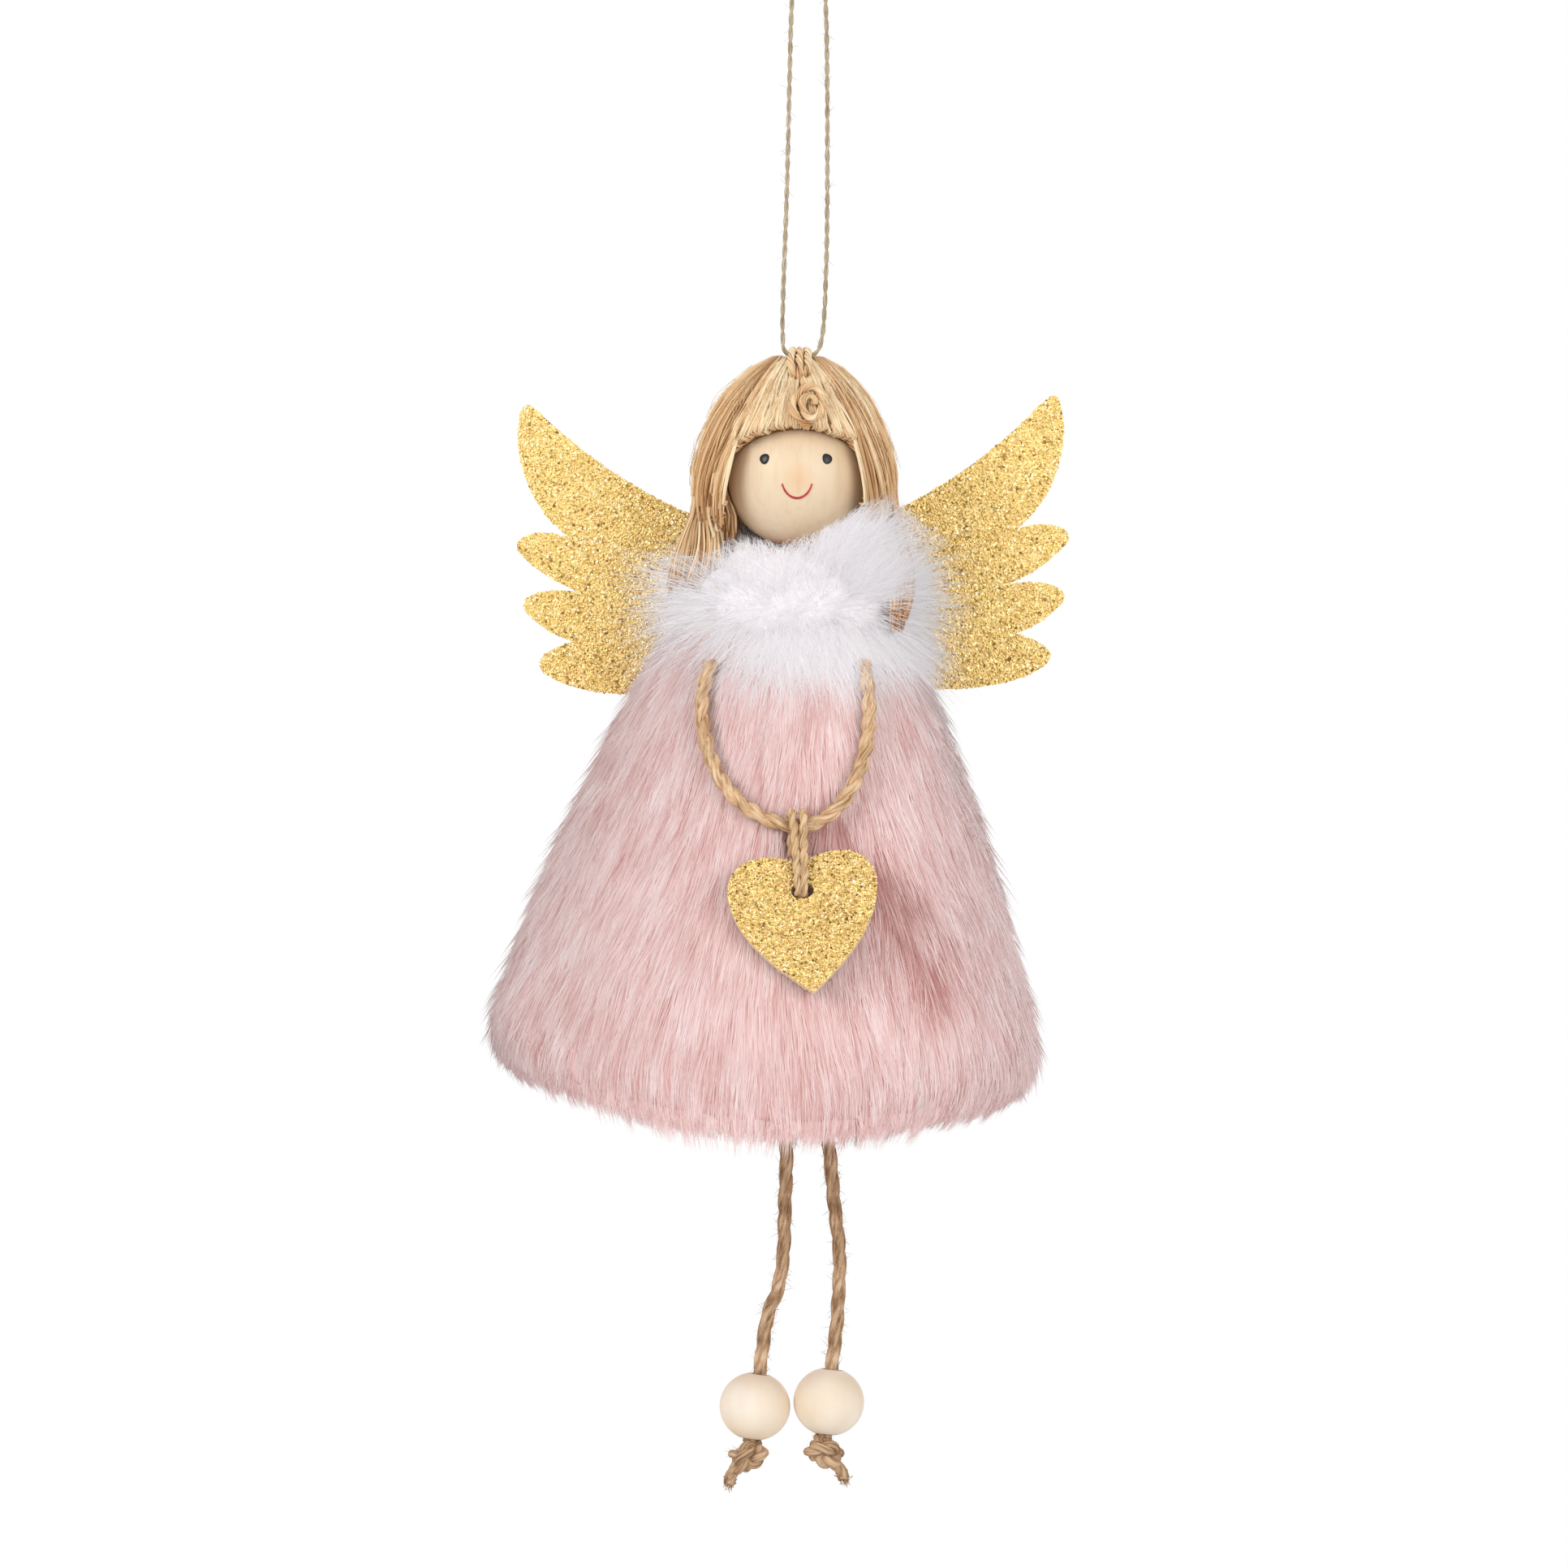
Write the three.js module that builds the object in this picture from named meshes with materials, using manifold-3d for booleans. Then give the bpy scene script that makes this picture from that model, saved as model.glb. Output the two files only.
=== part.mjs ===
// Angel ornament: a hanging doll of wooden beads, jute, plush and glitter foam.
// Millimetres. The face looks along -Y, +X is the viewer's right and +Z is up.
// The origin is the inside top of the hanging loop, where a hook carries it.
import * as THREE from 'three';
import { mergeVertices } from 'three/addons/utils/BufferGeometryUtils.js';
import Module from 'manifold-3d';

const wasm = await Module();
wasm.setup();

const DEG = Math.PI / 180;
const GAP = 0.3; // seat between neighbouring pieces
const COIL_GAP = 0.45; // air between the turns of a winding
const AXIS_X = -1.9; // body axis, a little left of the hook

// Head: a wooden ball with a vertical bore
const HEAD_R = 12.5;
const HEAD_Z = -90.3;
const HEAD_BORE_R = 1.9;

// Hanging twine and the jute turns that hold it at the crown
const TWINE_R = 0.42;
const LOOP_HALF = 2.9;
const LOOP_SHOULDER_Z = -8.4;
const CROWN_RISE = 20.4;
const CROWN_Z = HEAD_Z + CROWN_RISE;
const WRAP_TURNS = 3;
const WRAP_YARN_R = 0.35;
const WRAP_CLEAR = 0.38;
const WRAP_X = 0.3;

// Hair: one rounded outline, cut into a fringe and the rest
const HAIR_HALF = 18;
const HAIR_DEPTH = 0.88;
const HAIR_MID_Z = HEAD_Z - 2.1;
const HAIR_RISE = 23.8;
const HAIR_POWER = 1.85;
const HAIR_WELL = 5.6;
const FRINGE_ANGLE = 50 * DEG;
const FRINGE_Z = HEAD_Z + 7.3;
const FRINGE_DIP = 3.9;
const TEMPLE_Z = HEAD_Z - 3.2;
const NAPE_DROP = 12;
const NAPE_START = 0.15; // how far behind the ears the hair starts to drop
const LOCK_TOP_Z = TEMPLE_Z - GAP;
const CURL_YARN_R = 0.45;
const CURL_X = 2.1;
const CURL_Z = HEAD_Z + 11.8;
const CURL_TURNS = 1.75;
const CURL_START = 0.75;
const CURL_TALL = 1.25;

// Core cord and the knot that carries the dress
const CORD_R = 1.3;
const NECK_CORD_R = 1.2;
const NECK_Z = HEAD_Z - HEAD_R - GAP;
const HITCH_R = 3.2;
const HITCH_DROP = 8.6;
const HITCH_Z = NECK_Z - HITCH_DROP;

// Dress: plush on a card cone, flattened front to back and leaning a little
const LEAN = 3.7 * DEG;
const DRESS_X = -0.3;
const DEPTH = 0.78;
const NECK_R = 8.5;
const SHOULDER_S = 18;
const FLANK_START = 13.1;
const FLANK_FLARE = 0.564;
const FLANK_EASE = 0.1546; // share of the flare that is lost at the widest place
const PILE_S = 84; // where the pile is widest
const PILE_TIP = 6;
const PILE_HANG = 9;
const PILE_WRAP = 140 * DEG;
const HEM_S = 93;
const HEM_DROP = 0.1;
const CLOTH_TOP_R = 2.6;
const CLOTH_FLARE = 0.42;
const CLOTH_S = 83;
const CARD = 0.8;
const CARD_TOP_S = 1.5;
const CARD_S = 80;

// Collar: a soft ring of plume, lower in front
const COLLAR_DROP = 8.6;
const COLLAR_Z = NECK_Z - COLLAR_DROP;
const COLLAR_RING = [13.5, 12];
const COLLAR_TUBE = [9.2, 10.6];
const COLLAR_TILT = Math.tan(12 * DEG);
const COLLAR_LOBES = 7;
const COLLAR_LUMP = 0.9;

// Wings: one flat sheet of foam, glued flat on the back
const WING_T = 2;
const WING_Y = 15.6;
const WING_X = -0.8;
const WING_DROP = 1.9;
const WING_Z = NECK_Z - WING_DROP;
const WING_TURN = 1 * DEG;
const GLUE_T = 0.8;
const GLUE_R = 5;
const GLUE_DROP = 19.4;
const GLUE_Z = NECK_Z - GLUE_DROP;
const PRESS_BELOW = 1; // how far the flat that the wings press goes on below them
const WING_TOP = 3;
const WING_FOOT = -22.8;
const LEADING = { root: [19.3, 9.2], bend: [33, 15.8], end: [44.2, 27.2] };
const PRIMARY = { crown: [46.5, 29.3], end: [47, 26], outer: [48.4, 20.5], inner: [46.4, 10.4] };
const FEATHERS = [
  {
    notch: [38.9, 4.9], over: [43, 6.4], top: [46.6, 5.1],
    tip: [48.7, 4.2], low: [47.4, 2.2], under: [43.5, -2.2],
  },
  {
    notch: [36.7, -4.8], over: [42.5, -3.6], top: [45.6, -5.2],
    tip: [47.8, -6.3], low: [46.4, -8.2], under: [43, -11.8],
  },
  {
    notch: [38.4, -13.2], over: [41.8, -14.2], top: [43.4, -15.4],
    tip: [45.2, -16.9], low: [43.6, -18.6], under: [39, -22.2],
  },
];
const LAST_NOTCH = [28.5, -22.6];

// Arms: one cord hung in a bow over the front of the dress
const ARM_X = 0.3;
const ARM_LEFT = 16.7;
const ARM_RIGHT = 12;
const ARM_MID_DROP = 27.7;
const ARM_MID_Z = NECK_Z - ARM_MID_DROP;
const ARM_DROP = 20;
const ARM_REACH = 114 * DEG;

// Heart: foam with a hole, on a two-turn tie round the arms
const HEART_T = 2;
const HEART_TURN = 6.3 * DEG;
const HEART_HALF = 12.75;
const HEART_TIP = -17.9;
const HEART_NOTCH = 4.2;
const HEART_LOBE = [7.6, 6.3];
const TIE_R = 0.7;
const TIE_CLEAR = 0.35;
const TIE_DROP = 11.6;
const TIE_TURNS = 2;
const HOLE_TALL = 1.45;

// Legs: swinging cords with a bead and a stop knot
const HIP_DROP = 102.9;
const HIP_Z = NECK_Z - HIP_DROP;
const BEAD_R = 6.1;
const BEAD_HALF = 5.9;
const BEAD_BORE_R = 1.95;
const BEAD_RUN = 16; // straight cord above each bead
const KNOT_RING = 2.2;
const KNOT_YARN_R = 1.4;
const KNOT_TILT = 24 * DEG;
const KNOT_STEP = 1.3;
const LEGS = [
  {
    side: 'left', hitch: -1.6, hip: -1.96, bend: [-3.2, HIP_Z - 24],
    bead: [-7.4, HIP_Z - 45], tilt: 8 * DEG, tail: [-3.6, -5.4],
  },
  {
    side: 'right', hitch: 1.6, hip: 5.4, bend: [7.2, HIP_Z - 20],
    bead: [5.35, HIP_Z - 44.2], tilt: 5.5 * DEG, tail: [3.9, -3.8],
  },
];

const group = new THREE.Group();

function finish(color, roughness, metalness = 0) {
  return new THREE.MeshStandardMaterial({ color, roughness, metalness });
}

const TWINE = finish(0xb8b0a0, 0.85);
const STRAW = finish(0xd9b88a, 0.7);
const JUTE = finish(0xc4a070, 0.85);
const DARK_JUTE = finish(0xad8858, 0.85);
const WOOD = finish(0xeed3aa, 0.5);
const PALE_WOOD = finish(0xf5e6d3, 0.6);
const PLUME = finish(0xf1edf2, 0.95);
const PLUSH = finish(0xebc3c4, 0.95);
const CARD_STOCK = finish(0xd9cbb4, 0.9);
const GLITTER = finish(0xdcb45c, 0.45, 0.6);
const GLUE = finish(0xf0ece0, 0.4);

function place(name, geometry, material) {
  const mesh = new THREE.Mesh(geometry.translate(AXIS_X, 0, 0), material);
  mesh.name = name;
  group.add(mesh);
}

function solidOf(geometry) {
  const plain = geometry.clone();
  plain.deleteAttribute('normal');
  plain.deleteAttribute('uv');
  const welded = mergeVertices(plain, 1e-4);
  return new wasm.Manifold(new wasm.Mesh({
    numProp: 3,
    vertProperties: new Float32Array(welded.attributes.position.array),
    triVerts: new Uint32Array(welded.index.array),
  }));
}

function meshOf(points, triangles) {
  const geometry = new THREE.BufferGeometry();
  geometry.setAttribute('position', new THREE.Float32BufferAttribute(points, 3));
  geometry.setIndex(triangles);
  geometry.computeVertexNormals();
  return geometry;
}

function geometryOf(solid) {
  const { vertProperties, triVerts } = solid.getMesh();
  return meshOf(Array.from(vertProperties), Array.from(triVerts));
}

// A wall between an outer and an inner surface; u runs round the axis, v runs down.
function thickSheet(outer, inner, columns, rows, closed) {
  const width = closed ? columns : columns + 1;
  const points = [];
  for (const face of [outer, inner]) {
    for (let i = 0; i < width; i += 1) {
      for (let j = 0; j <= rows; j += 1) {
        points.push(...face(i / columns, j / rows).toArray());
      }
    }
  }
  const at = (side, i, j) => (side * width + (i % width)) * (rows + 1) + j;
  const triangles = [];
  const quad = (a, b, c, d) => triangles.push(a, b, c, a, c, d);
  for (let i = 0; i < columns; i += 1) {
    for (let j = 0; j < rows; j += 1) {
      quad(at(0, i, j), at(0, i, j + 1), at(0, i + 1, j + 1), at(0, i + 1, j));
      quad(at(1, i, j), at(1, i + 1, j), at(1, i + 1, j + 1), at(1, i, j + 1));
    }
    quad(at(0, i, 0), at(0, i + 1, 0), at(1, i + 1, 0), at(1, i, 0));
    quad(at(0, i + 1, rows), at(0, i, rows), at(1, i, rows), at(1, i + 1, rows));
  }
  for (let j = 0; j < rows && !closed; j += 1) {
    quad(at(0, 0, j), at(1, 0, j), at(1, 0, j + 1), at(0, 0, j + 1));
    quad(at(0, columns, j + 1), at(1, columns, j + 1), at(1, columns, j), at(0, columns, j));
  }
  return meshOf(points, triangles);
}

// Rings joined along a path, with flat ends or closed on themselves.
function loft(rings, closed) {
  const sides = rings[0].length;
  const points = rings.flat().flatMap((p) => p.toArray());
  const triangles = [];
  const spans = closed ? rings.length : rings.length - 1;
  for (let k = 0; k < spans; k += 1) {
    const near = k * sides;
    const far = ((k + 1) % rings.length) * sides;
    for (let m = 0; m < sides; m += 1) {
      const next = (m + 1) % sides;
      triangles.push(near + m, near + next, far + next, near + m, far + next, far + m);
    }
  }
  const last = (rings.length - 1) * sides;
  for (let m = 1; m < sides - 1 && !closed; m += 1) {
    triangles.push(0, m + 1, m, last, last + m, last + m + 1);
  }
  return meshOf(points, triangles);
}

function tube(curve, radius, steps, sides = 8) {
  const ring = [];
  for (let k = 0; k < sides; k += 1) {
    const turn = (2 * Math.PI * k) / sides;
    ring.push(new THREE.Vector2(radius * Math.cos(turn), radius * Math.sin(turn)));
  }
  const along = { steps, bevelEnabled: false, extrudePath: curve };
  return new THREE.ExtrudeGeometry(new THREE.Shape(ring), along);
}

function through(points) {
  return new THREE.CatmullRomCurve3(points.map(([x, y, z]) => new THREE.Vector3(x, y, z)));
}

function rod(x, y, fromZ, toZ, radius, sides) {
  return new THREE.CylinderGeometry(radius, radius, Math.abs(fromZ - toZ), sides)
    .rotateX(Math.PI / 2)
    .translate(x, y, (fromZ + toZ) / 2);
}

// A right half outline, from the axis to the axis, closed by its mirror image.
function bothSides(half) {
  const other = half.slice(1, -1).reverse().map((p) => new THREE.Vector2(-p.x, p.y));
  return new THREE.Shape([...half, ...other]);
}

// Least air between the turns of a winding, one turn apart or more along its path.
function turnGap(name, curve, radius, turns) {
  const samples = curve.getSpacedPoints(turns * 72);
  let least = Infinity;
  for (let i = 0; i < samples.length; i += 1) {
    for (let j = i + 36; j < samples.length; j += 1) {
      least = Math.min(least, samples[i].distanceTo(samples[j]) - 2 * radius);
    }
  }
  console.log(`${name}: least gap between turns ${least.toFixed(2)} mm`);
}

// Hanging loop
const strandX = { left: -2.6, right: 4.2 };
const loopX = -AXIS_X;
const loopPath = through([
  [WRAP_X - 0.25, 0, CROWN_Z],
  [WRAP_X - 1.5, 0, CROWN_Z + 0.05],
  [strandX.left + 0.25, 0, CROWN_Z + 1.2],
  [strandX.left, 0, CROWN_Z + 3.5],
  [strandX.left + 0.8, 0, CROWN_Z * 0.55],
  [loopX - LOOP_HALF, 0, LOOP_SHOULDER_Z],
  [loopX - LOOP_HALF * 0.82, 0, -LOOP_HALF * 0.72],
  [loopX, 0, TWINE_R],
  [loopX + LOOP_HALF * 0.82, 0, -LOOP_HALF * 0.72],
  [loopX + LOOP_HALF, 0, LOOP_SHOULDER_Z],
  [strandX.right + 0.75, 0, CROWN_Z * 0.75],
  [strandX.right, 0, CROWN_Z + 3.5],
  [strandX.right - 0.7, 0, CROWN_Z + 1.1],
  [WRAP_X + 1.9, 0, CROWN_Z + 0.05],
  [WRAP_X + 0.25, 0, CROWN_Z],
]);
place('hang_loop', tube(loopPath, TWINE_R, 80), TWINE);

// Crown wrap
const wrapRing = TWINE_R + WRAP_CLEAR + WRAP_YARN_R;
const wrapPitch = 2 * WRAP_YARN_R + COIL_GAP;
const wrapPoints = [];
for (let k = 0; k <= WRAP_TURNS * 12; k += 1) {
  const turn = k / 12;
  const x = WRAP_X + (turn - WRAP_TURNS / 2) * wrapPitch;
  const angle = 2 * Math.PI * turn;
  wrapPoints.push([x, wrapRing * Math.sin(angle), CROWN_Z - wrapRing * Math.cos(angle)]);
}
const wrapPath = through(wrapPoints);
turnGap('crown_wrap', wrapPath, WRAP_YARN_R, WRAP_TURNS);
place('crown_wrap', tube(wrapPath, WRAP_YARN_R, WRAP_TURNS * 24, 6), STRAW);

// Head
function ball(radius, half, bore, arcs, segments) {
  const start = Math.asin(bore / radius);
  const profile = [];
  for (let k = 0; k <= arcs; k += 1) {
    const angle = start + ((Math.PI - 2 * start) * k) / arcs;
    profile.push(new THREE.Vector2(radius * Math.sin(angle), -half * Math.cos(angle)));
  }
  profile.push(profile[0].clone());
  return new THREE.LatheGeometry(profile, segments).rotateX(Math.PI / 2);
}
const head = ball(HEAD_R, HEAD_R, HEAD_BORE_R, 18, 32).translate(0, 0, HEAD_Z);
place('head', head, WOOD);

// Hair
function hairHalf(z) {
  const rise = Math.min(Math.abs(z - HAIR_MID_Z) / HAIR_RISE, 1);
  return HAIR_HALF * (1 - rise ** HAIR_POWER) ** (1 / HAIR_POWER);
}
const wellZ = HAIR_MID_Z + HAIR_RISE * (1 - (HAIR_WELL / HAIR_HALF) ** HAIR_POWER) ** (1 / HAIR_POWER);
const headMiddle = new THREE.Vector3(0, 0, HEAD_Z);

function hairPiece(from, to, edgeZ, columns, rows, grow = 0) {
  const outer = (u, v) => {
    const angle = from + (to - from) * u;
    const z = wellZ + (edgeZ(angle) - wellZ) * v;
    const half = hairHalf(z) + grow;
    return new THREE.Vector3(half * Math.cos(angle), HAIR_DEPTH * half * Math.sin(angle), z);
  };
  const inner = (u, v) => outer(u, v).sub(headMiddle).setLength(HEAD_R + GAP - grow).add(headMiddle);
  return thickSheet(outer, inner, columns, rows, false);
}
const front = -Math.PI / 2;
const partGap = GAP / HEAD_R;
const fringeEdge = (angle) => FRINGE_Z - FRINGE_DIP * ((angle - front) / FRINGE_ANGLE) ** 2;
const crownEdge = (angle) => TEMPLE_Z - NAPE_DROP * Math.max(Math.sin(angle) - NAPE_START, 0);
const fringe = hairPiece(front - FRINGE_ANGLE, front + FRINGE_ANGLE, fringeEdge, 14, 7);
const crownFrom = front + FRINGE_ANGLE + partGap;
const crownTo = front - FRINGE_ANGLE - partGap + 2 * Math.PI;
place('hair_fringe', fringe, STRAW);
place('hair_crown', hairPiece(crownFrom, crownTo, crownEdge, 32, 9), STRAW);

const curlPitch = 2 * CURL_YARN_R + COIL_GAP;
const curlPoints = [];
for (let k = 0; k <= CURL_TURNS * 12; k += 1) {
  const turn = k / 12;
  const reach = CURL_START + curlPitch * turn;
  const x = CURL_X + reach * Math.cos(2 * Math.PI * turn);
  const z = CURL_Z + CURL_TALL * reach * Math.sin(2 * Math.PI * turn);
  const half = hairHalf(z);
  const y = -HAIR_DEPTH * Math.sqrt(half * half - x * x) - CURL_YARN_R - GAP;
  curlPoints.push([x, y, z]);
}
const curlPath = through(curlPoints);
turnGap('hair_curl', curlPath, CURL_YARN_R, CURL_TURNS);
place('hair_curl', tube(curlPath, CURL_YARN_R, CURL_TURNS * 24, 6), STRAW);

function lock(stations, grow) {
  const rings = stations.map(([x, y, z, half]) => {
    const ring = [];
    for (let k = 0; k < 14; k += 1) {
      const angle = (-2 * Math.PI * k) / 14;
      const reach = half + grow;
      ring.push(new THREE.Vector3(x + reach * Math.cos(angle), y + reach * Math.sin(angle), z));
    }
    return ring;
  });
  return loft(rings, false);
}
const LEFT_LOCK = [
  [-15.9, -2, LOCK_TOP_Z, 3.1],
  [-16.2, -2.2, LOCK_TOP_Z - 4, 3.4],
  [-16.7, -2.6, LOCK_TOP_Z - 9, 4.6],
  [-17.2, -3, LOCK_TOP_Z - 14, 5.4],
  [-17.4, -3, LOCK_TOP_Z - 15.8, 5.1],
];
const RIGHT_LOCK = [
  [15.8, -2, LOCK_TOP_Z, 3],
  [16.4, -4, LOCK_TOP_Z - 7, 3.4],
  [17.4, -7, LOCK_TOP_Z - 14, 3.7],
  [18.3, -9, LOCK_TOP_Z - 20, 3.3],
  [18.6, -9.6, LOCK_TOP_Z - 22, 2.4],
];
place('hair_lock_left', lock(LEFT_LOCK, 0), STRAW);
place('hair_lock_right', lock(RIGHT_LOCK, 0), STRAW);

// Core cord and hitch knot
const neckTop = CROWN_Z - wrapRing - WRAP_YARN_R - GAP;
const neckFoot = HITCH_Z + HITCH_R + GAP;
place('neck_cord', rod(0, 0, neckTop, neckFoot, NECK_CORD_R, 10), JUTE);
const hitch = new THREE.SphereGeometry(HITCH_R, 16, 10).rotateX(Math.PI / 2).translate(0, 0, HITCH_Z);
place('hitch_knot', hitch, JUTE);

// Dress and its card cone
function pileHalf(s) {
  const flank = FLANK_START + FLANK_FLARE * s - (FLANK_EASE * s * s) / PILE_S;
  const t = Math.min(s / SHOULDER_S, 1);
  return NECK_R + (flank - NECK_R) * t * t * (3 - 2 * t);
}
const hemReach = (s, across) => s * (1 + HEM_DROP * across * (s / HEM_S) ** 2);

function onDress(angle, half, s) {
  const across = half * Math.cos(angle);
  const down = hemReach(s, Math.sin(angle) ** 2);
  return new THREE.Vector3(
    DRESS_X + across * Math.cos(LEAN) - down * Math.sin(LEAN),
    DEPTH * half * Math.sin(angle),
    NECK_Z - down * Math.cos(LEAN) - across * Math.sin(LEAN),
  );
}
const clothHalf = (s) => CLOTH_TOP_R + CLOTH_FLARE * s;

const FLANK_ROWS = 14;
const HEM_ROWS = 5;
const PLUSH_ROWS = FLANK_ROWS + HEM_ROWS;
const flankS = (row) => PILE_S * (row / FLANK_ROWS) ** 1.4; // rows closer together at the neck
const plushOuter = (u, v) => {
  const angle = 2 * Math.PI * u;
  const row = v * PLUSH_ROWS;
  if (row <= FLANK_ROWS) {
    return onDress(angle, pileHalf(flankS(row)), flankS(row));
  }
  const roll = (PILE_WRAP * (row - FLANK_ROWS)) / HEM_ROWS;
  const half = pileHalf(PILE_S) - PILE_TIP * (1 - Math.cos(roll));
  return onDress(angle, half, PILE_S + PILE_HANG * Math.sin(roll));
};
const plushInner = (u, v) => onDress(2 * Math.PI * u, clothHalf(CLOTH_S * v), CLOTH_S * v);

// The filled outline of the shoulders, for what is pressed round them
function shoulders(grow) {
  const rings = [];
  for (let row = 0; row < FLANK_ROWS; row += 1) {
    const ring = [];
    for (let k = 0; k < 36; k += 1) {
      ring.push(onDress((-2 * Math.PI * k) / 36, pileHalf(flankS(row)) + grow, flankS(row) - grow));
    }
    rings.push(ring);
  }
  return loft(rings, false);
}

// Front of the pile at a given place in the front view
function pileFront(x, z) {
  const right = x - DRESS_X;
  const below = NECK_Z - z;
  const down = below * Math.cos(LEAN) - right * Math.sin(LEAN);
  const across = right * Math.cos(LEAN) + below * Math.sin(LEAN);
  let s = down;
  let share = 1;
  for (let k = 0; k < 6; k += 1) {
    share = Math.max(1 - (across / pileHalf(s)) ** 2, 0);
    s = down / (1 + HEM_DROP * share * (s / HEM_S) ** 2);
  }
  return -DEPTH * pileHalf(s) * Math.sqrt(share);
}

const cardOuter = (u, v) => {
  const s = CARD_TOP_S + (CARD_S - CARD_TOP_S) * v;
  return onDress(2 * Math.PI * u, clothHalf(s) - GAP, s);
};
const cardInner = (u, v) => {
  const s = CARD_TOP_S + (CARD_S - CARD_TOP_S) * v;
  return onDress(2 * Math.PI * u, clothHalf(s) - GAP - CARD, s);
};
place('body_cone', thickSheet(cardOuter, cardInner, 32, 4, true), CARD_STOCK);

// Arms
const armPoints = [];
for (let k = 0; k <= 16; k += 1) {
  const angle = ARM_REACH * (k / 8 - 1);
  const x = ARM_X + (angle < 0 ? ARM_LEFT : ARM_RIGHT) * Math.sin(angle);
  const z = ARM_MID_Z - ARM_DROP * Math.cos(angle);
  armPoints.push([x, pileFront(x, z) - CORD_R - GAP, z]);
}
const armPath = through(armPoints);
place('arms_cord', tube(armPath, CORD_R, 36), JUTE);

// Heart: hung from the middle of the arms, resting on the pile
const hingeZ = ARM_MID_Z - ARM_DROP;
const hingeY = pileFront(ARM_X, hingeZ) - CORD_R - GAP;
let heartSlope = 0;
for (let drop = 4; drop < 29; drop += 1) {
  for (let side = -12; side <= 12; side += 4) {
    const out = hingeY - pileFront(ARM_X + side, hingeZ - drop) + HEART_T / 2 + GAP;
    heartSlope = Math.max(heartSlope, Math.atan2(out, drop));
  }
}
const heartUp = new THREE.Vector3(0, Math.sin(heartSlope), Math.cos(heartSlope));
const heartFace = new THREE.Vector3(0, -Math.cos(heartSlope), Math.sin(heartSlope));
const heartFrame = new THREE.Matrix4()
  .makeBasis(new THREE.Vector3(1, 0, 0), heartUp, heartFace)
  .setPosition(ARM_X, hingeY, hingeZ);

const tiePitch = 2 * TIE_R + COIL_GAP;
const tieHalf = CORD_R + TIE_CLEAR + TIE_R;
const tieRun = TIE_DROP - tieHalf;
const tieLap = 2 * Math.PI * tieHalf + 2 * tieRun;

// One lap starts half way up the back, goes over the arms, down the front and through the hole.
function tiePoint(lap) {
  let along = (lap % 1) * tieLap;
  const x = tiePitch * (lap - TIE_TURNS / 2);
  if (along < tieRun / 2) {
    return new THREE.Vector3(x, along - tieRun / 2, -tieHalf);
  }
  along -= tieRun / 2;
  if (along < Math.PI * tieHalf) {
    const turn = along / tieHalf;
    return new THREE.Vector3(x, tieHalf * Math.sin(turn), -tieHalf * Math.cos(turn));
  }
  along -= Math.PI * tieHalf;
  if (along < tieRun) {
    return new THREE.Vector3(x, -along, tieHalf);
  }
  along -= tieRun;
  if (along < Math.PI * tieHalf) {
    const turn = along / tieHalf;
    return new THREE.Vector3(x, -tieRun - tieHalf * Math.sin(turn), tieHalf * Math.cos(turn));
  }
  along -= Math.PI * tieHalf;
  return new THREE.Vector3(x, along - tieRun, -tieHalf);
}
const tiePoints = [];
for (let k = 0; k <= TIE_TURNS * 20; k += 1) {
  tiePoints.push(tiePoint(Math.min(k / 20, TIE_TURNS - 1e-6)));
}
const tiePath = new THREE.CatmullRomCurve3(tiePoints);
turnGap('heart_tie', tiePath, TIE_R, TIE_TURNS);
place('heart_tie', tube(tiePath, TIE_R, TIE_TURNS * 24, 6).applyMatrix4(heartFrame), STRAW);

const holeLap = (tieRun / 2 + 1.5 * Math.PI * tieHalf + tieRun) / tieLap;
const holeX = tiePitch * (holeLap - 0.5);
const heartSide = new THREE.Shape();
heartSide.moveTo(0, HEART_NOTCH);
const [lobeX, lobeY] = HEART_LOBE;
heartSide.bezierCurveTo(0.24 * lobeX, 0.95 * lobeY, 0.66 * lobeX, 1.05 * lobeY, lobeX, lobeY);
heartSide.bezierCurveTo(0.86 * HEART_HALF, 0.94 * lobeY, 1.02 * HEART_HALF, 0.48 * lobeY, HEART_HALF, 0);
heartSide.bezierCurveTo(
  0.97 * HEART_HALF, 0.31 * HEART_TIP, 0.69 * HEART_HALF, 0.61 * HEART_TIP, 0, HEART_TIP,
);
const heartShape = bothSides(heartSide.getPoints(8));
const holeHalf = tiePitch / 2 + TIE_R + TIE_CLEAR;
const holePoints = [];
for (let k = 0; k < 20; k += 1) {
  const turn = (2 * Math.PI * k) / 20;
  holePoints.push(new THREE.Vector2(holeHalf * Math.cos(turn), HOLE_TALL * Math.sin(turn)));
}
heartShape.holes.push(new THREE.Path(holePoints));
const heart = new THREE.ExtrudeGeometry(heartShape, { depth: HEART_T, bevelEnabled: false })
  .translate(0, 0, -HEART_T / 2)
  .rotateZ(HEART_TURN)
  .translate(holeX, -TIE_DROP, 0)
  .applyMatrix4(heartFrame);
place('heart', heart, GLITTER);

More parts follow.
